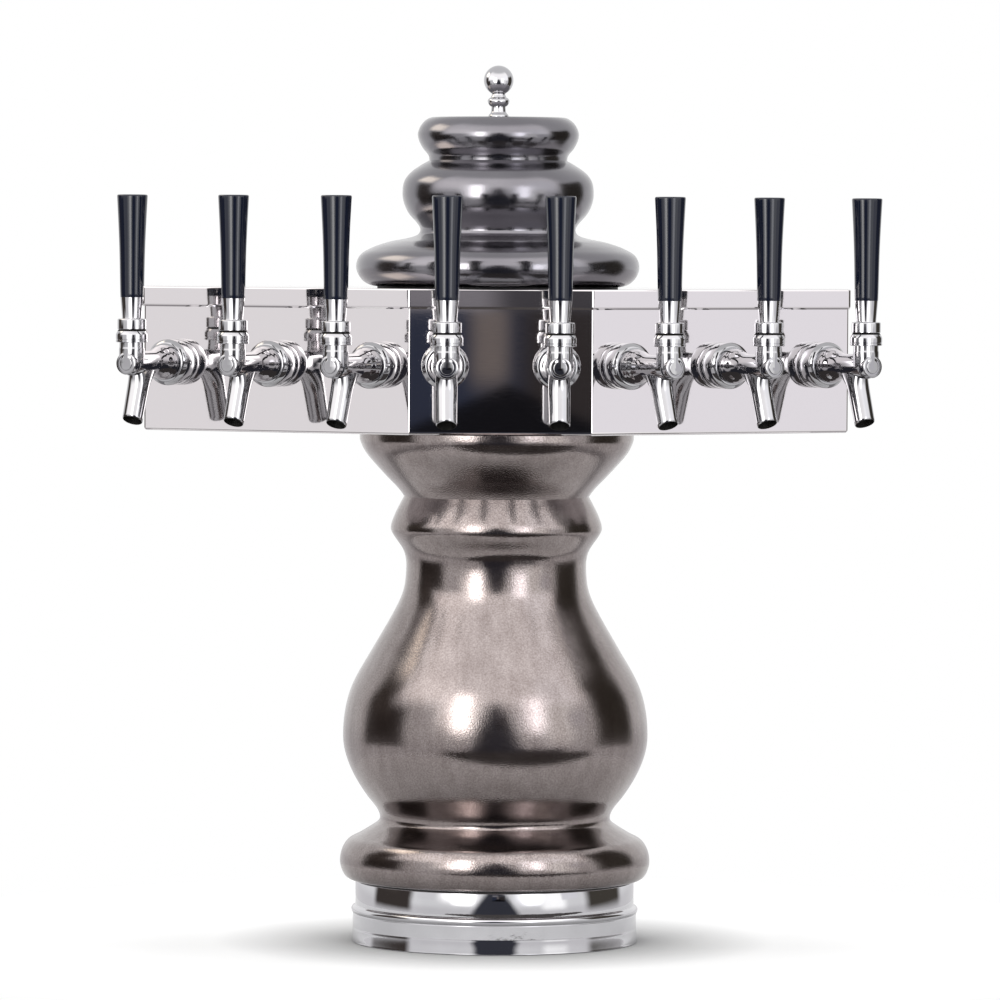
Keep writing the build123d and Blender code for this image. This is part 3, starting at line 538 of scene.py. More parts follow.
def build_cap_shell():
    """One turned shell with a foot, a bulge and a knob, and a plainer hollow inside."""
    wall = 4.0
    loop = outline(CAP_SIDE, 1.2)
    loop += [Vector(corner) for corner in (
        (STUD_BORE, CAP_TOP), (STUD_BORE, CAP_TOP - wall), (57.0, CAP_TOP - wall), (57.0, 691.0),
        (78.0, 672.0), (65.0, 640.0), (65.0, 622.0), (106.0, 612.0), (117.0, 600.7),
        (103.0, CAP_BOTTOM),
    )]
    made = piece("cap_shell_turned", turned(loop, segments=192))
    finish_piece(made, CAP_COAT_PAINTED_LIGHT, "cap_coat", "root", "cap_shell")


def build_finial():
    """Foot, bead and ball in one, drilled from below for the tie rod."""
    foot, bead, ball = CAP_TOP, CAP_TOP + 14.6, CAP_TOP + 32.9
    radius, neck_angle, count = 13.2, -61, 32
    drilled = foot + 21.0
    loop = outline(
        (
            (STUD_BORE, foot),
            (8.6, foot),
            (9.0, foot + 0.5, 90),
            (8.4, foot + 2.6, 130),
            (6.6, foot + 5.4, 92),
            (6.4, foot + 9.6, 84, 20),
            (9.7, bead, 90),
            (7.0, bead + 3.2, 160, 110),
            (5.9, bead + 6.2, 88, 70),
            (6.4, ball - 11.5, 60, 26),
        ),
        0.5,
    )
    for number in range(1, count + 1):
        turn = radians(neck_angle + (90 - neck_angle) * number / count)
        loop.append(Vector((radius * cos(turn), ball + radius * sin(turn))))
    loop[-1].x = 0.0
    loop += [Vector((0, drilled)), Vector((STUD_BORE, drilled))]
    made = piece("finial_turned", turned(loop, segments=96))
    finish_piece(made, FINIAL_CHROME_SHADED, "chrome", "root", "finial")


# ---- tap head ----


def head_plan(margin, bend):
    """The head's outline seen from above, grown by a margin, with bends of a given radius."""
    detail = 8
    sweep = radians(WING_SWEEP)
    reach = MIDDLE_HALF + WING_LENGTH * cos(sweep)
    setback = -HEAD_FRONT + WING_LENGTH * sin(sweep)
    corners = [Vector(c) for c in (
        (-MIDDLE_HALF, -HEAD_FRONT), (MIDDLE_HALF, -HEAD_FRONT), (reach, setback),
        (reach, HEAD_FRONT), (-reach, HEAD_FRONT), (-reach, setback),
    )]
    points = []
    for number, corner in enumerate(corners):
        before, after = corners[number - 1], corners[(number + 1) % len(corners)]
        into, out = (corner - before).normalized(), (after - corner).normalized()
        right_in, right_out = Vector((into.y, -into.x)), Vector((out.y, -out.x))
        half = into.angle(out) / 2
        outward = (right_in + right_out).normalized()
        middle = corner + outward * (margin - bend) / cos(half)
        start, end = atan2(right_in.y, right_in.x), atan2(right_out.y, right_out.x)
        if end < start:
            end += CIRCLE
        arc = [start + (end - start) * step / detail for step in range(detail + 1)]
        ring = [middle + Vector((cos(turn), sin(turn))) * bend for turn in arc]
        points += [ring[0] - into * BESIDE_BEND] + ring + [ring[-1] + out * BESIDE_BEND]
    return points


def plan_ring(margin, height, bend=HEAD_BEND):
    """The head's outline as a ring at a height."""
    return [Vector((point.x, point.y, height)) for point in head_plan(margin, bend)]


def build_head_housing():
    """A folded box: bent panels, a rolled lower edge, a floor, and a hollow inside."""
    outer = bmesh.new()
    roll, roll_steps = 2.6, 6
    rings = [plan_ring(-roll - BESIDE_BEND, BODY_TOP), plan_ring(-roll, BODY_TOP)]
    for step in range(1, roll_steps + 1):
        turn = pi / 2 * step / roll_steps
        rings.append(plan_ring(-roll * (1 - sin(turn)), BODY_TOP + roll * (1 - cos(turn))))
    panel_top = HEAD_TOP - SHEET
    for height in (BODY_TOP + roll + BESIDE_BEND, panel_top - BESIDE_BEND, panel_top):
        rings.append(plan_ring(0, height))
    stack(outer, rings)
    inner = bmesh.new()
    stack(inner, [plan_ring(-SHEET, BODY_TOP + SHEET), plan_ring(-SHEET, HEAD_TOP)])
    floor_hole = turned(rod_loop(COLUMN_BORE, BODY_TOP - 5, BODY_TOP + 5), segments=64)
    steps = [("DIFFERENCE", inner), ("DIFFERENCE", floor_hole)]
    for seat in SEATS:
        hole = turned(rod_loop(SHANK_BORE, -6.0, 6.0), seat @ TAP_AXIS, 48)
        steps.append(("DIFFERENCE", hole))
    made = piece("head_housing_folded", carve(outer, steps), sharp=12.0)
    finish_piece(made, POLISHED, "polished_sheet", "root", "head_housing")


def build_head_lid():
    """The cover: a top plate with a rounded edge and a skirt that draws in at its lip."""
    outer = bmesh.new()
    edge, edge_steps = 1.4, 8
    skirt = HEAD_TOP - LID_DEPTH
    bend = HEAD_BEND + LID_OVERHANG
    rings = [plan_ring(LID_OVERHANG - inset, height, bend) for inset, height in (
        (1.2, skirt), (0.3, skirt + 1.5), (0, skirt + 2.4), (0, HEAD_TOP - edge - BESIDE_BEND))]
    for step in range(edge_steps + 1):
        turn = pi / 2 * step / edge_steps
        inset = edge * (1 - cos(turn))
        rings.append(plan_ring(LID_OVERHANG - inset, HEAD_TOP - edge * (1 - sin(turn)), bend))
    rings.append(plan_ring(LID_OVERHANG - edge - BESIDE_BEND, HEAD_TOP, bend))
    stack(outer, rings)
    inner = bmesh.new()
    wall = LID_OVERHANG - SHEET
    stack(inner, [plan_ring(wall, skirt - 5, bend), plan_ring(wall, HEAD_TOP - SHEET, bend)])
    rod = turned(rod_loop(STUD_BORE, HEAD_TOP - 9, HEAD_TOP + 9), segments=32)
    steps = [("DIFFERENCE", inner), ("DIFFERENCE", rod)]
    made = piece("head_lid_folded", carve(outer, steps), sharp=12.0)
    finish_piece(made, POLISHED, "polished_sheet", "root", "head_lid")


# ---- taps: what stays still ----


def build_flanges():
    """The round plates between the nuts and the panels, with a rounded and grooved face."""
    loop = outline(
        ((SHANK_BORE, 0.0), (20.3, 0.0), (20.5, 0.3), (20.5, 3.4, 90), (20.0, 3.95, 165),
         (14.6, 4.0), (14.2, 3.7), (12.4, 3.7), (12.1, 4.0), (SHANK_BORE, 4.0)),
        0.3,
    )
    made = piece("shank_flanges_turned", turned(loop, TAP_AXIS, 72), SEATS)
    finish_piece(made, CAST_CHROME_SHADED, "chrome", "root", "shank_flanges")


def build_shanks():
    """Threaded tube through the panel, with the collar that the coupling nut pulls on."""
    loop = [(3.0, -44.0), (10.2, -44.0)]
    crest, root, pitch = 11.0, 10.35, 1.3
    height, thread_end = -43.4, 2.0
    while height < thread_end:
        loop += [(root, height), (crest, height + pitch / 2)]
        height += pitch
    loop += [(crest, 3.6), (crest, 8.1), (14.0, 8.1), (14.3, 8.4), (14.3, 11.8), (14.0, 12.1),
             (8.3, 12.1), (8.3, -7.0), (3.0, -7.0)]
    made = piece("shanks_threaded", turned(loop, TAP_AXIS, 56), SEATS)
    finish_piece(made, CAST_CHROME_SHADED, "chrome", "root", "shanks")


NUT_BACK, NUT_FRONT = 4.35, 21.25
NUT_RADIUS = 20.5
SPANNER_HOLES = 6


def build_coupling_nuts():
    """Round nut with spanner holes, a lip behind and a broad bevel in front."""
    loop = outline(
        ((11.3, NUT_BACK), (19.6, NUT_BACK), (20.2, NUT_BACK + 0.3), (NUT_RADIUS, NUT_BACK + 1.1),
         (NUT_RADIUS, NUT_FRONT - 4.3, 90), (20.0, NUT_FRONT - 3.1, 125),
         (17.5, NUT_FRONT - 0.3, 138), (16.7, NUT_FRONT, 175), (14.6, NUT_FRONT),
         (14.6, 8.05), (11.3, 8.05)),
        0.4,
    )
    hole = [(0, 17.5), (1.6, 17.5), (1.8, 17.8), (1.8, 20.0), (2.3, 20.8), (2.3, 22.0),
            (0, 22.0)]
    middle = Matrix.Translation((0, -(NUT_BACK + NUT_FRONT) / 2, 0))
    sideways = Matrix.Rotation(pi / 2, 4, "Y")
    steps = []
    for number in range(SPANNER_HOLES):
        turn = Matrix.Rotation(CIRCLE * number / SPANNER_HOLES, 4, "Y")
        steps.append(("DIFFERENCE", turned(hole, middle @ turn @ sideways, 24)))
    made = piece("coupling_nuts_drilled", carve(turned(loop, TAP_AXIS, 72), steps), SEATS)
    finish_piece(made, CAST_CHROME_SHADED, "chrome", "root", "coupling_nuts")


SPOUT_ROOT = Vector((0, -62.0, 0))     # on the barrel's axis
SPOUT_AXIS = Vector((0, -18.0, -51.5))      # from there to the middle of the mouth
SPOUT_RADIUS = 10.0          # at its root
SPOUT_TAPER = 0.9            # how much the radius draws in down to the mouth
GUSSET_LENGTH = 25.0         # of the gusset's blend, down the spout
GUSSET_DEPTH = 14.5          # how far it reaches beyond the tube in front and behind
GUSSET_SETBACK = 4.5         # of its middle
GUSSET_PINCH = 1.2           # how much narrower it is than the tube
MOUTH_EDGE = 0.5             # how much the lip is drawn in
MOUTH_SLANT = 0.16           # how much the spout's front lip stands higher than the back


def spout_rings():
    """Rings down the spout: a long gusset under the barrel draws in to a round tube."""
    length = SPOUT_AXIS.length
    along = SPOUT_AXIS.normalized()
    across = Vector((1, 0, 0))
    count, last = 48, 30
    rings = []
    for step in range(last + 1):
        t = length if step == last else -3.0 + (length - 1.0) * step / (last - 1)
        ease = max(0.0, 1 - max(t, 0.0) / GUSSET_LENGTH) ** 2.1
        tube = SPOUT_RADIUS - SPOUT_TAPER * max(t, 0.0) / length
        half_x = tube - GUSSET_PINCH * ease
        half_y = tube + GUSSET_DEPTH * ease
        slant = 0.0
        if step == last:
            half_x = half_y = tube - MOUTH_EDGE
            slant = MOUTH_SLANT
        tilt = along.lerp(Vector((0, 0, -1)), ease).normalized()
        deep = tilt.cross(across).normalized()
        centre = SPOUT_ROOT + along * t + Vector((0, GUSSET_SETBACK * ease, 0))
        ring = []
        for number in range(count):
            turn = CIRCLE * number / count
            aside = across * half_x * cos(turn) + deep * half_y * sin(turn)
            ring.append(centre + aside - along * (slant * (half_y * sin(turn) + tube)))
        rings.append(ring)
    lip = [point - along * 0.7 for point in rings[-1]]
    middle = sum(lip, Vector()) / count
    mouth = SPOUT_RADIUS - SPOUT_TAPER
    wide = [middle + (point - middle) * (mouth / (mouth - MOUTH_EDGE)) for point in lip]
    return rings[:-1] + [wide] + rings[-1:]


BALL_RADIUS = 9.0            # of the lever
SOCKET_RADIUS = 9.3          # that the ball turns in
DOME_RADIUS = 15.19          # of the bonnet's top, round the lever's pivot
SWEEP_RADIUS = 15.49         # of the hollow under the lever's collar
SHADED_DOME_ANGLE = 59           # from upright: the dome takes painted shade from there up


def arc_points(radius, angles, height):
    """Points round a middle on the axis, at angles in degrees up from level."""
    return [(radius * cos(radians(angle)), height + radius * sin(radians(angle)))
            for angle in angles]


def faucet_body_mesh():
    """Spigot, flange, barrel and nose turned in one, the neck, the gusset and the spout,
    with the bore, the lever's socket and the slot of its tail cut out."""
    barrel = outline(
        ((0, 13.3), (14.3, 13.3), (14.3, 21.3), (15.1, 21.3), (15.5, 21.7), (15.5, 24.4, 90),
         (14.6, 29.0, 100), (12.3, 38.0, 101), (10.9, 48.0, 92), (10.8, 52.0), (10.8, 83.0),
         (10.5, 83.7), (9.9, 84.0), (9.5, 84.3), (9.5, 85.1), (9.8, 85.4), (9.8, 90.9, 90),
         (9.2, 91.9, 150), (7.7, 92.0), (7.4, 91.2), (6.2, 91.2), (6.0, 91.6, 90),
         (5.4, 92.0, 170), (0, 92.0)),
        0.4,
    )
    neck = outline(
        ((0, 0), (11.4, 0), (11.4, 12.5, 90), (11.0, 14.5, 96), (11.0, 21.5), (0, 21.5)), 0.8)
    spout = bmesh.new()
    stack(spout, spout_rings())
    bore = turned(rod_loop(6.0, 13.0, 88.0), TAP_AXIS, 40)
    along = SPOUT_AXIS.normalized()
    turn = Vector((0, 0, 1)).rotation_difference(along).to_matrix().to_4x4()
    down = Matrix.Translation(SPOUT_ROOT) @ turn
    mouth = SPOUT_AXIS.length
    drain = turned([(0, 0), (6.0, 0), (6.0, 24.0), (7.9, 32.0), (8.1, mouth - 0.4),
                    (8.4, mouth), (8.4, mouth + 6), (0, mouth + 6)], down, 48)
    hollow = arc_points(SOCKET_RADIUS, range(-81, 82, 9), PIVOT)
    ends = [(0.0, PIVOT + way * SOCKET_RADIUS) for way in (-1, 1)]
    socket = turned(ends[:1] + hollow + ends[1:], LEVER_AXIS, 40)
    half, top, back = 3.5, 14.0, 13.9
    slot = bmesh.new()
    side = [(LEVER_OUT + half, 0.0), (LEVER_OUT + half, top), (LEVER_OUT - 7.5, top),
            (LEVER_OUT - back, 2.9), (LEVER_OUT - back, 0.0)]
    stack(slot, [[Vector((x, -out, up)) for out, up in side] for x in (-half, half)])
    return carve(turned(barrel, TAP_AXIS, 64), [
        ("UNION", turned(neck, LEVER_AXIS, 64)), ("UNION", spout), ("DIFFERENCE", bore),
        ("DIFFERENCE", drain), ("DIFFERENCE", socket), ("DIFFERENCE", slot)])


def in_spout(face):
    """Whether a face belongs to the spout's bore, from its distance to the spout's axis."""
    below, within = 24.0, 8.3
    along = SPOUT_AXIS.normalized()
    offset = face.center / MM - SPOUT_ROOT
    return offset.dot(along) > below and offset.cross(along).length < within


def place_at_taps(source, suffix, node, slot, body, *materials):
    """One copy of a piece at each tap, on its own body if the body's name has a number."""
    for number, seat in enumerate(SEATS, 1):
        mesh = source.data.copy()
        mesh.transform(Matrix.Translation(seat.to_translation() * MM) @ seat.to_3x3().to_4x4())
        made = add_object(f"tap_{number}_{suffix}", mesh)
        finish_piece(made, materials[0], slot, body.format(number), node.format(number))
        for material in materials[1:]:
            mesh.materials.append(material)
    bpy.data.objects.remove(source)


def build_faucet_bodies():
    """The cast bodies, with painted shade inside the spouts."""
    source = piece("faucet_body", faucet_body_mesh(), sharp=38.0)
    # Painted shade: faces inside the spout's bore take the near-black material.
    for face in source.data.polygons:
        face.material_index = 1 if in_spout(face) else 0
    place_at_taps(source, "body_cast", "tap_{}_body", "chrome", "root", CAST_CHROME_SHADED, PAINTED_SHADE)


def build_bonnets():
    """Cap nut over the lever's ball: a grooved side, and painted shade on the dome under the
    collar, where its shadow falls.
    """
    dome = [(DOME_RADIUS * sin(radians(a)), PIVOT + DOME_RADIUS * cos(radians(a)))
            for a in (68.6, 65, 61, 57, 53, 50, 48.6)]
    loop = outline(
        ((NECK_BORE, 18.5), (13.6, 18.5), (14.2, 19.0), (14.2, 20.4), (13.9, 20.7), (13.9, 21.2),
         (14.2, 21.5), (14.2, 25.2)),
        0.4,
    )
    loop += [Vector(point) for point in dome]
    loop += [Vector(corner) for corner in
             ((11.25, 30.05), (10.9, 29.6), (8.25, 24.3), (9.0, 22.9), (NECK_BORE, 22.0))]
    made = piece("faucet_bonnets_turned", turned(loop, LEVER_AXIS, 64), SEATS)
    finish_piece(made, TURNED_CHROME_SHADED, "chrome", "root", "faucet_bonnets")
    made.data.materials.append(PAINTED_SHADE)
    # Painted shade: the dome's faces above that angle take the near-black material, for the
    # shadow under the collar.
    shade_from = (TAP_HEIGHT + PIVOT + DOME_RADIUS * cos(radians(SHADED_DOME_ANGLE))) * MM
    for face in made.data.polygons:
        face.material_index = 1 if face.center.z > shade_from else 0


# ---- taps: what the lever carries ----


GRIP_BOTTOM = 58.05          # of the handle, above the shank's axis


def build_levers():
    """Ball, tail and stem, the collar over the bonnet and the ferrule under the handle."""
    bm = bmesh.new()
    tail = [(0.0, -2.9), (1.5, -2.5), (2.5, -1.5), (2.9, 0.0), (2.9, PIVOT - 8.6)]
    stud = [(4.0, PIVOT + 8.2), (4.0, 78.0), (0.0, 78.0)]
    ball = arc_points(BALL_RADIUS, range(-66, 61, 6), PIVOT)
    lathe(bm, tail + ball + stud, LEVER_AXIS, 48)
    under = [(SWEEP_RADIUS * sin(radians(a)), PIVOT + SWEEP_RADIUS * cos(radians(a)))
             for a in (16, 22, 28, 34, 40, 46, 50)]
    collar = outline(
        ((12.5, 29.95), (12.8, 30.3), (12.8, 38.0, 90), (11.9, 39.2, 165), (9.4, 39.35)), 0.4)
    ferrule = [(8.9, 39.5), (8.75, 40.0), (10.2, 57.4), (10.25, GRIP_BOTTOM),
               (STUD_BORE, GRIP_BOTTOM)]
    lathe(bm, [(STUD_BORE, PIVOT + 15.0)] + under + collar + ferrule, LEVER_AXIS, 64)
    place_at_taps(piece("lever", bm), "lever_turned", "tap_{}_lever", "chrome", "lever_{}",
                  TURNED_CHROME_SHADED)


def build_handles():
    """Tapered black grip with a bowed side and a rounded, slightly domed end."""
    loop = outline(
        ((STUD_BORE, GRIP_BOTTOM), (10.1, GRIP_BOTTOM), (10.3, 58.4, 88), (11.4, 103.0, 88.0),
         (13.45, 146.6, 87), (13.1, 147.6, 130), (12.4, 148.0, 176), (0.0, 148.05, 180)),
        3.0,
    )
    loop += [Vector((0, 78.4)), Vector((STUD_BORE, 78.4))]
    source = piece("handle", turned(loop, LEVER_AXIS, 64), sharp=50.0)
    place_at_taps(source, "handle_turned", "tap_{}_handle", "black_handle", "lever_{}", BLACK)


# ---- CAD nodes that stay as they are ----

KEPT = (
    (STEEL, ("mounting_plate", "support_column", "column_screws", "lid_screws", "cap_tie_rod",
             "tie_rod_nuts", "line_nuts", "shank_lock_nuts", "beer_lines")
     + tuple(f"tap_{number}_plunger" for number in range(1, len(SEATS) + 1))),
    (COPPER, ("coolant_loop",)),
    (RUBBER, ("base_gasket", "lower_seal", "upper_seal", "cap_gasket", "coupling_washers")),
    (FOAM, ("body_insulation", "lid_insulation")),
    (PLASTIC, ("line_spacers",)),
)


def dress_kept_nodes(nodes):
    """Procedural materials on the nodes that are shown as the CAD made them."""
    for material, names in KEPT:
        for name in names:
            node = nodes[name]
            node.data.materials.clear()
            node.data.materials.append(material)


# ---- studio ----

FLOOR_RADIUS = 0.59
FLOOR_DROP = 0.0004          # under the tower's face
FLOOR_WHITE = 0.8
FLOOR_LIFT = 0.45            # light added for the camera, so that the floor runs out to white
MIRRORED_LIFT = 0.5          # the share of it that is added for reflections
LIFT_FROM, LIFT_WHOLE = 0.125, 0.25    # radii that it rises between, beyond the shadow's core
AMBIENT = 0.52               # of the world, where it lights the tower


def math_node(nodes, links, operation, *values):
    """A socket worked out from numbers and other sockets."""
    node = nodes.new("ShaderNodeMath")
    node.operation = operation
    for number, value in enumerate(values):
        if isinstance(value, (int, float)):
            node.inputs[number].default_value = value
        else:
            links.new(value, node.inputs[number])
    return node.outputs[0]


def smooth_gate(nodes, links, value, limit, softness):
    """1 where a value is under a limit, 0 above it, with a soft edge."""
    gate = nodes.new("ShaderNodeMapRange")
    gate.interpolation_type = "SMOOTHSTEP"
    gate.inputs["From Min"].default_value = limit - softness
    gate.inputs["From Max"].default_value = limit + softness
    gate.inputs["To Min"].default_value = 1.0
    gate.inputs["To Max"].default_value = 0.0
    links.new(value, gate.inputs["Value"])
    return gate.outputs["Result"]


def paint_over(nodes, links, label, below, mask, light):
    """Light laid over what was painted before, a colour or a socket, where a mask is 1."""
    mix = nodes.new("ShaderNodeMix")
    mix.label = label
    mix.data_type = "RGBA"
    mix.clamp_result = False
    links.new(mask, mix.inputs["Factor"])
    if isinstance(below, tuple):
        mix.inputs[6].default_value = (*below, 1)
    else:
        links.new(below, mix.inputs[6])
    mix.inputs[7].default_value = (*light, 1)
    return mix.outputs[2]


def build_floor():
    """A round white floor that keeps the tower's shadow and runs out to white."""
    bm = bmesh.new()
    count = 96
    rim = [CIRCLE * number / count for number in range(count)]
    bm.faces.new([bm.verts.new((FLOOR_RADIUS * cos(turn), FLOOR_RADIUS * sin(turn), -FLOOR_DROP))
                  for turn in rim])
    floor = add_object("floor", mesh_from("floor", bm))
    material, main = shader("floor", (FLOOR_WHITE, FLOOR_WHITE, FLOOR_WHITE), 0.0, 0.8,
                            Specular_IOR_Level=0.0, Emission_Color=(1, 1, 1, 1))
    nodes, links = material.node_tree.nodes, material.node_tree.links
    calc = partial(math_node, nodes, links)
    path = nodes.new("ShaderNodeLightPath")
    place = nodes.new("ShaderNodeTexCoord")
    reach = nodes.new("ShaderNodeVectorMath")
    reach.operation = "LENGTH"
    links.new(place.outputs["Object"], reach.inputs[0])
    fade = nodes.new("ShaderNodeMapRange")
    fade.inputs["From Min"].default_value = LIFT_FROM
    fade.inputs["From Max"].default_value = LIFT_WHOLE
    fade.inputs["To Max"].default_value = FLOOR_LIFT
    links.new(reach.outputs["Value"], fade.inputs["Value"])
    seen = calc("MULTIPLY_ADD", path.outputs["Is Glossy Ray"], MIRRORED_LIFT,
                path.outputs["Is Camera Ray"])
    lift = calc("MULTIPLY", seen, fade.outputs["Result"])
    links.new(lift, main.inputs["Emission Strength"])
    floor.data.materials.append(material)


def build_world():
    """White for what is seen directly or in metal, and a softer level for the light."""
    world = bpy.data.worlds.new("studio")
    bpy.context.scene.world = world
    world.use_nodes = True
    nodes, links = world.node_tree.nodes, world.node_tree.links
    calc = partial(math_node, nodes, links)
    back = nodes["Background"]
    path = nodes.new("ShaderNodeLightPath")
    seen = calc("MAXIMUM", path.outputs["Is Camera Ray"], path.outputs["Is Glossy Ray"])
    seen = calc("MAXIMUM", seen, path.outputs["Is Transmission Ray"])
    level = nodes.new("ShaderNodeMapRange")
    level.inputs["To Min"].default_value = AMBIENT
    level.inputs["To Max"].default_value = 1.0
    links.new(seen, level.inputs["Value"])
    back.inputs["Color"].default_value = (1, 1, 1, 1)
    links.new(level.outputs["Result"], back.inputs["Strength"])


# What the metal sees round the tower, painted in order on a dome that only reflections meet:
# azimuth and half width, elevation and half height, all in degrees (azimuth 0 is in front and
# positive to the right), how much the half width shrinks per degree upward, the softness of
# the edge, and the light that comes from there, where 1 is white.
STUDIO = (
    ("horizon", 0, 400, -16, 12, 0.0, 4.0, (0.82, 0.81, 0.82)),
    ("floor", 0, 400, -60, 36, 0.0, 5.0, (0.36, 0.35, 0.36)),
    ("front floor", 0, 60, -50, 17, 0.0, 6.0, (0.85, 0.84, 0.84)),
    ("upper glow", -4, 82, 44, 20, 0.0, 9.0, (1.9, 1.87, 1.85)),
    ("left glow", -60, 22, 36, 12, 0.0, 8.0, (2.3, 2.25, 2.2)),
    ("right glow", 52, 18, 34, 14, 0.0, 7.0, (1.9, 1.9, 1.92)),
    ("left kicker", -106, 15, 45, 8, 0.0, 4.0, (3.6, 3.3, 2.8)),
    ("left box", -31, 13, 21, 15, 0.0, 8.0, (3.0, 2.97, 2.92)),
    ("right box", 30, 12, 19, 14, 0.0, 8.0, (2.5, 2.5, 2.54)),
    ("left tube", -27, 6.5, 19, 16, 0.0, 5.5, (7.5, 7.4, 7.2)),
    ("right tube", 29, 6.0, 17, 14, 0.0, 5.0, (4.6, 4.6, 4.7)),
    ("left side", -93, 21, 3, 13, 0.0, 4.0, (0.06, 0.05, 0.045)),
    ("left side, high", -101, 13, 20, 13, 0.0, 5.0, (0.10, 0.085, 0.075)),
    ("right side", 99, 21, 14, 23, 0.0, 5.0, (0.075, 0.067, 0.056)),
    ("right card", 47, 10, 9, 14, 0.0, 4.0, (1.6, 1.6, 1.57)),
    ("clutter on the right", 24, 25, -14.5, 3.2, 0.0, 1.2, (0.10, 0.10, 0.105)),
    ("front figure", -1, 17, -6, 34, 0.42, 3.5, (0.05, 0.052, 0.066)),
    ("left wing's view", -59, 7.5, 9.6, 5.2, 0.0, 1.5, (0.965, 0.955, 0.965)),
    ("right wing's view", 61.8, 7.5, 9.6, 5.2, 0.0, 1.5, (1.01, 1.0, 1.04)),
)
STUDIO_RADIUS = 1.45
STUDIO_HEIGHT = 0.25         # of the dome's middle
SPILL_CUT = 0.8              # of the dome's light, where the chrome would throw it on the floor


def glow_material(name):
    """A material that only gives light, with its nodes, its links and its emission."""
    material = bpy.data.materials.new(name)
    material.use_nodes = True
    nodes, links = material.node_tree.nodes, material.node_tree.links
    nodes.clear()
    glow = nodes.new("ShaderNodeEmission")
    out = nodes.new("ShaderNodeOutputMaterial")
    links.new(glow.outputs[0], out.inputs[0])
    return material, nodes, links, glow


def own_place(nodes, links):
    """The object's own x, y and z, as sockets."""
    place = nodes.new("ShaderNodeTexCoord")
    split = nodes.new("ShaderNodeSeparateXYZ")
    links.new(place.outputs["Object"], split.inputs[0])
    return split.outputs


def only_reflected(thing):
    """Leave a thing to reflections alone."""
    thing.visible_camera = False
    thing.visible_diffuse = False
    thing.visible_shadow = False
    thing.visible_transmission = False
    thing.visible_volume_scatter = False


def build_studio():
    """The dome that reflections meet, with the studio of the photo painted on it."""
    bm = bmesh.new()
    bmesh.ops.create_icosphere(bm, subdivisions=5, radius=STUDIO_RADIUS)
    dome = add_object("studio_dome", mesh_from("studio_dome", bm))
    dome.location = (0, 0, STUDIO_HEIGHT)
    material, nodes, links, glow = glow_material("studio_dome")
    calc = partial(math_node, nodes, links)
    gate = partial(smooth_gate, nodes, links)
    x, y, z = own_place(nodes, links)
    azimuth = calc("MULTIPLY", calc("ARCTAN2", x, calc("MULTIPLY", y, -1.0)), 180 / pi)
    level = calc("SQRT", calc("ADD", calc("MULTIPLY", x, x), calc("MULTIPLY", y, y)))
    elevation = calc("MULTIPLY", calc("ARCTAN2", z, level), 180 / pi)
    seen = (1, 1, 1)
    for label, centre, half, middle, height, taper, soft, light in STUDIO:
        aside = calc("ABSOLUTE", calc("SUBTRACT", azimuth, centre))
        lift = calc("SUBTRACT", elevation, middle)
        wide = gate(calc("ADD", aside, calc("MULTIPLY", lift, taper)), half, soft)
        tall = gate(calc("ABSOLUTE", lift), height, soft)
        seen = paint_over(nodes, links, label, seen, calc("MULTIPLY", wide, tall), light)
    links.new(seen, glow.inputs["Color"])
    path = nodes.new("ShaderNodeLightPath")
    spilt = calc("MINIMUM", path.outputs["Diffuse Depth"], 1.0)
    links.new(calc("SUBTRACT", 1.0, calc("MULTIPLY", spilt, SPILL_CUT)), glow.inputs["Strength"])
    dome.data.materials.append(material)
    only_reflected(dome)


# The card that the middle panel mirrors, and what is painted on it, in metres.
CARD_X = (-0.075, 0.16)
CARD_Y = -1.36
CARD_Z = (0.395, 0.60)
ROOM_LIGHT = (0.032, 0.038, 0.062)
RIGHT_FROM = 0.056           # x from which the room is dimmer
FIGURE_X, FIGURE_HALF, FIGURE_FROM = 0.024, 0.019, 0.468
TABLE_X, TABLE_SLOPE, TABLE_TOP = 0.042, 0.45, 0.4694
BAND_FROM = 0.5465           # height of the band that the lid's skirt mirrors
BAND_SPLIT = 0.03            # x up to which that band is pale


def build_front_card():
    """What the middle panel reflects: a dim room, a pale figure and a dark table edge."""
    bm = bmesh.new()
    corners = [(CARD_X[0], CARD_Z[0]), (CARD_X[1], CARD_Z[0]),
               (CARD_X[1], CARD_Z[1]), (CARD_X[0], CARD_Z[1])]
    bm.faces.new([bm.verts.new((x, CARD_Y, z)) for x, z in corners])
    card = add_object("studio_front_card", mesh_from("studio_front_card", bm))
    material, nodes, links, glow = glow_material("studio_front_card")
    calc = partial(math_node, nodes, links)
    gate = partial(smooth_gate, nodes, links)
    x, _, z = own_place(nodes, links)

    def from_line(centre):
        return calc("ABSOLUTE", calc("SUBTRACT", x, centre))

    def beyond(value, limit, softness):
        return gate(calc("MULTIPLY", value, -1.0), -limit, softness)

    figure = calc("MULTIPLY", gate(from_line(FIGURE_X), FIGURE_HALF, 0.012),
                  beyond(z, FIGURE_FROM, 0.02))
    table = gate(calc("ADD", z, calc("MULTIPLY", from_line(TABLE_X), TABLE_SLOPE)),
                 TABLE_TOP, 0.005)
    band = beyond(z, BAND_FROM, 0.001)
    seen = ROOM_LIGHT
    for label, mask, light in (
        ("right", beyond(x, RIGHT_FROM, 0.02), (0.036, 0.031, 0.031)),
        ("figure", figure, (0.17, 0.145, 0.135)),
        ("table", table, (0.008, 0.008, 0.01)),
        ("band", band, (0.065, 0.062, 0.07)),
        ("pale band", calc("MULTIPLY", band, gate(x, BAND_SPLIT, 0.02)), (0.23, 0.22, 0.24)),
    ):
        seen = paint_over(nodes, links, label, seen, mask, light)
    links.new(seen, glow.inputs["Color"])
    card.data.materials.append(material)
    only_reflected(card)


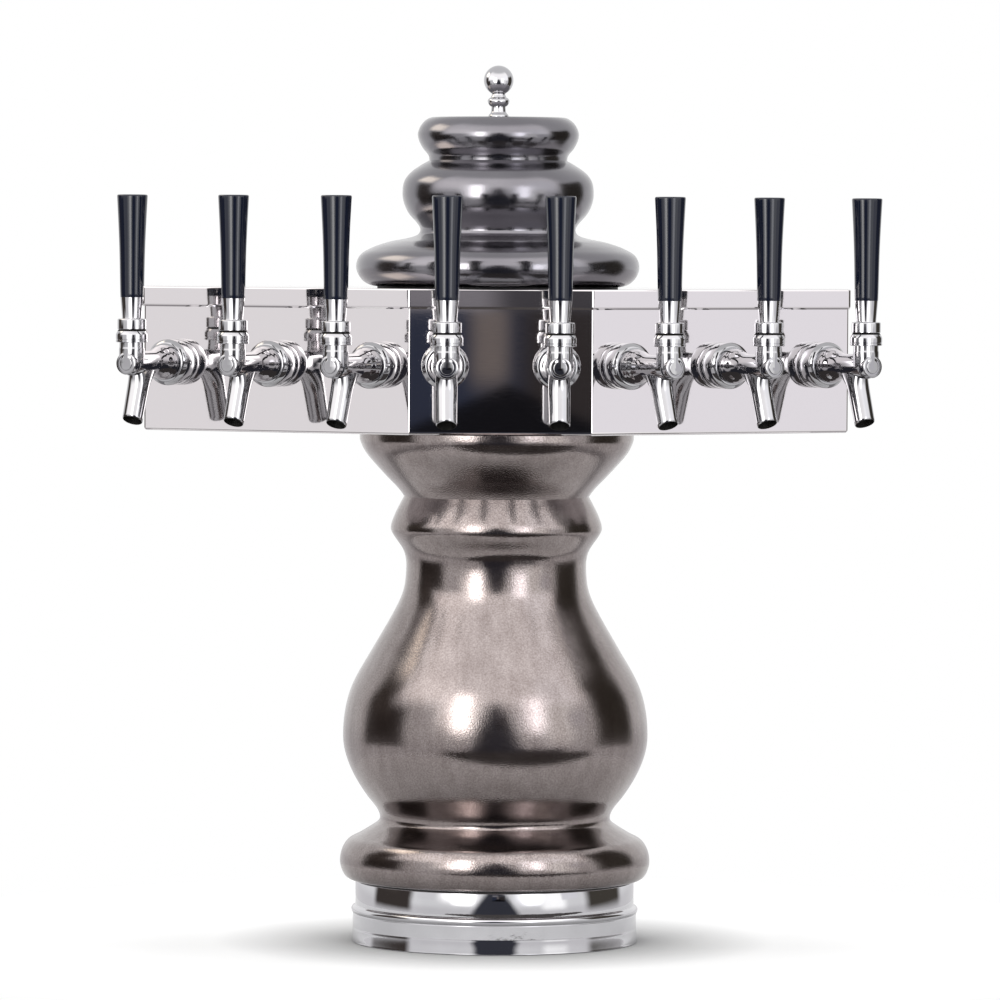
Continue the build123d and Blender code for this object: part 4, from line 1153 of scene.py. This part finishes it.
DARK_NEAR, DARK_FAR = 0.35, 0.85       # metres from the tower's axis
DARK_HEIGHT = 0.004
DARK_HALF = 54               # degrees to each side of its middle
DARK_TURN = 15               # degrees that its middle is turned to the right
DARK_LIGHT = (0.09, 0.082, 0.08)


def build_dark_floor():
    """The dark floor in front, with a straight near edge, as the body's belly mirrors it."""
    bm = bmesh.new()
    steps = 24
    edges = []
    for number in range(steps + 1):
        aside = radians(-DARK_HALF + 2 * DARK_HALF * number / steps)
        turn = aside + radians(DARK_TURN)
        out = Vector((sin(turn), -cos(turn), 0))
        edges.append([bm.verts.new(out * reach + Vector((0, 0, DARK_HEIGHT)))
                      for reach in (DARK_NEAR / cos(aside), DARK_FAR)])
    for first, second in zip(edges, edges[1:]):
        bm.faces.new((first[0], second[0], second[1], first[1]))
    sheet = add_object("studio_dark_floor", mesh_from("studio_dark_floor", bm))
    material, _, _, glow = glow_material("studio_dark_floor")
    glow.inputs["Color"].default_value = (*DARK_LIGHT, 1)
    sheet.data.materials.append(material)
    only_reflected(sheet)


LAMP_TARGET = Vector((0, 0, 0.4))


def add_lamp(name, azimuth, elevation, distance, width, height, radiance, colour=(1, 1, 1)):
    """A soft box that faces the tower from a direction, in degrees, and that metal doesn't
    mirror."""
    data = bpy.data.lights.new(name, "AREA")
    data.shape = "RECTANGLE"
    data.size, data.size_y = width, height
    data.energy = radiance * pi * width * height
    data.color = colour
    lamp = add_object(name, data)
    turn, lift = radians(azimuth), radians(elevation)
    toward = Vector((sin(turn) * cos(lift), -cos(turn) * cos(lift), sin(lift)))
    lamp.location = LAMP_TARGET + toward * distance
    lamp.rotation_euler = toward.to_track_quat("Z", "Y").to_euler()
    lamp.visible_camera = False
    lamp.visible_glossy = False


def build_lamps():
    """A warmer soft box on the left, a cooler one on the right, and one overhead."""
    add_lamp("soft_left", -29, 26, 3.0, 1.35, 0.8, 4.5, (1.0, 0.985, 0.95))
    add_lamp("soft_top", 170, 82, 1.7, 0.9, 0.9, 5.4)
    add_lamp("soft_right", 27, 27, 3.0, 1.1, 0.7, 4.2, (0.97, 0.985, 1.0))


# ---- camera ----

CAMERA_DISTANCE = 6.0
CAMERA_HEIGHT = 0.638
CAMERA_AZIMUTH = -1.6        # degrees, to the left
CAMERA_ROLL = 0.3            # degrees, the slight lean of the photo
AIM = (0.0031, 0, 0.3931)
LENS = 242.8


def build_camera():
    """The photo's view: from far off, a little above the head and a little to the left."""
    data = bpy.data.cameras.new("camera")
    data.lens = LENS
    data.sensor_width = 36
    data.clip_end = 60
    camera = add_object("camera", data)
    turn = radians(CAMERA_AZIMUTH)
    camera.location = (CAMERA_DISTANCE * sin(turn), -CAMERA_DISTANCE * cos(turn), CAMERA_HEIGHT)
    look = Vector(AIM) - camera.location
    upright = look.to_track_quat("-Z", "Y")
    camera.rotation_euler = (upright @ Quaternion((0, 0, 1), radians(CAMERA_ROLL))).to_euler()
    bpy.context.scene.camera = camera


# ---- everything, in order ----

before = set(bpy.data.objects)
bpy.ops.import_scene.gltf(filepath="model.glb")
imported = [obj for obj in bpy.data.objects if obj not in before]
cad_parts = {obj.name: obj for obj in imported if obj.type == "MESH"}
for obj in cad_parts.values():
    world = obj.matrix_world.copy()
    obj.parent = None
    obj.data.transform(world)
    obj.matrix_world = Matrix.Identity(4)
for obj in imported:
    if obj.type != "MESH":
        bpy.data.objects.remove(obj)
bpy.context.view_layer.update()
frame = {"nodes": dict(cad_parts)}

build_body_shell()
build_base_ring()
build_cap_shell()
build_finial()
build_head_housing()
build_head_lid()
build_flanges()
build_shanks()
build_coupling_nuts()
build_faucet_bodies()
build_bonnets()
build_levers()
build_handles()
dress_kept_nodes(frame["nodes"])
build_floor()
build_world()
build_studio()
build_front_card()
build_dark_floor()
build_lamps()
build_camera()
bpy.context.scene.view_settings.view_transform = "Standard"
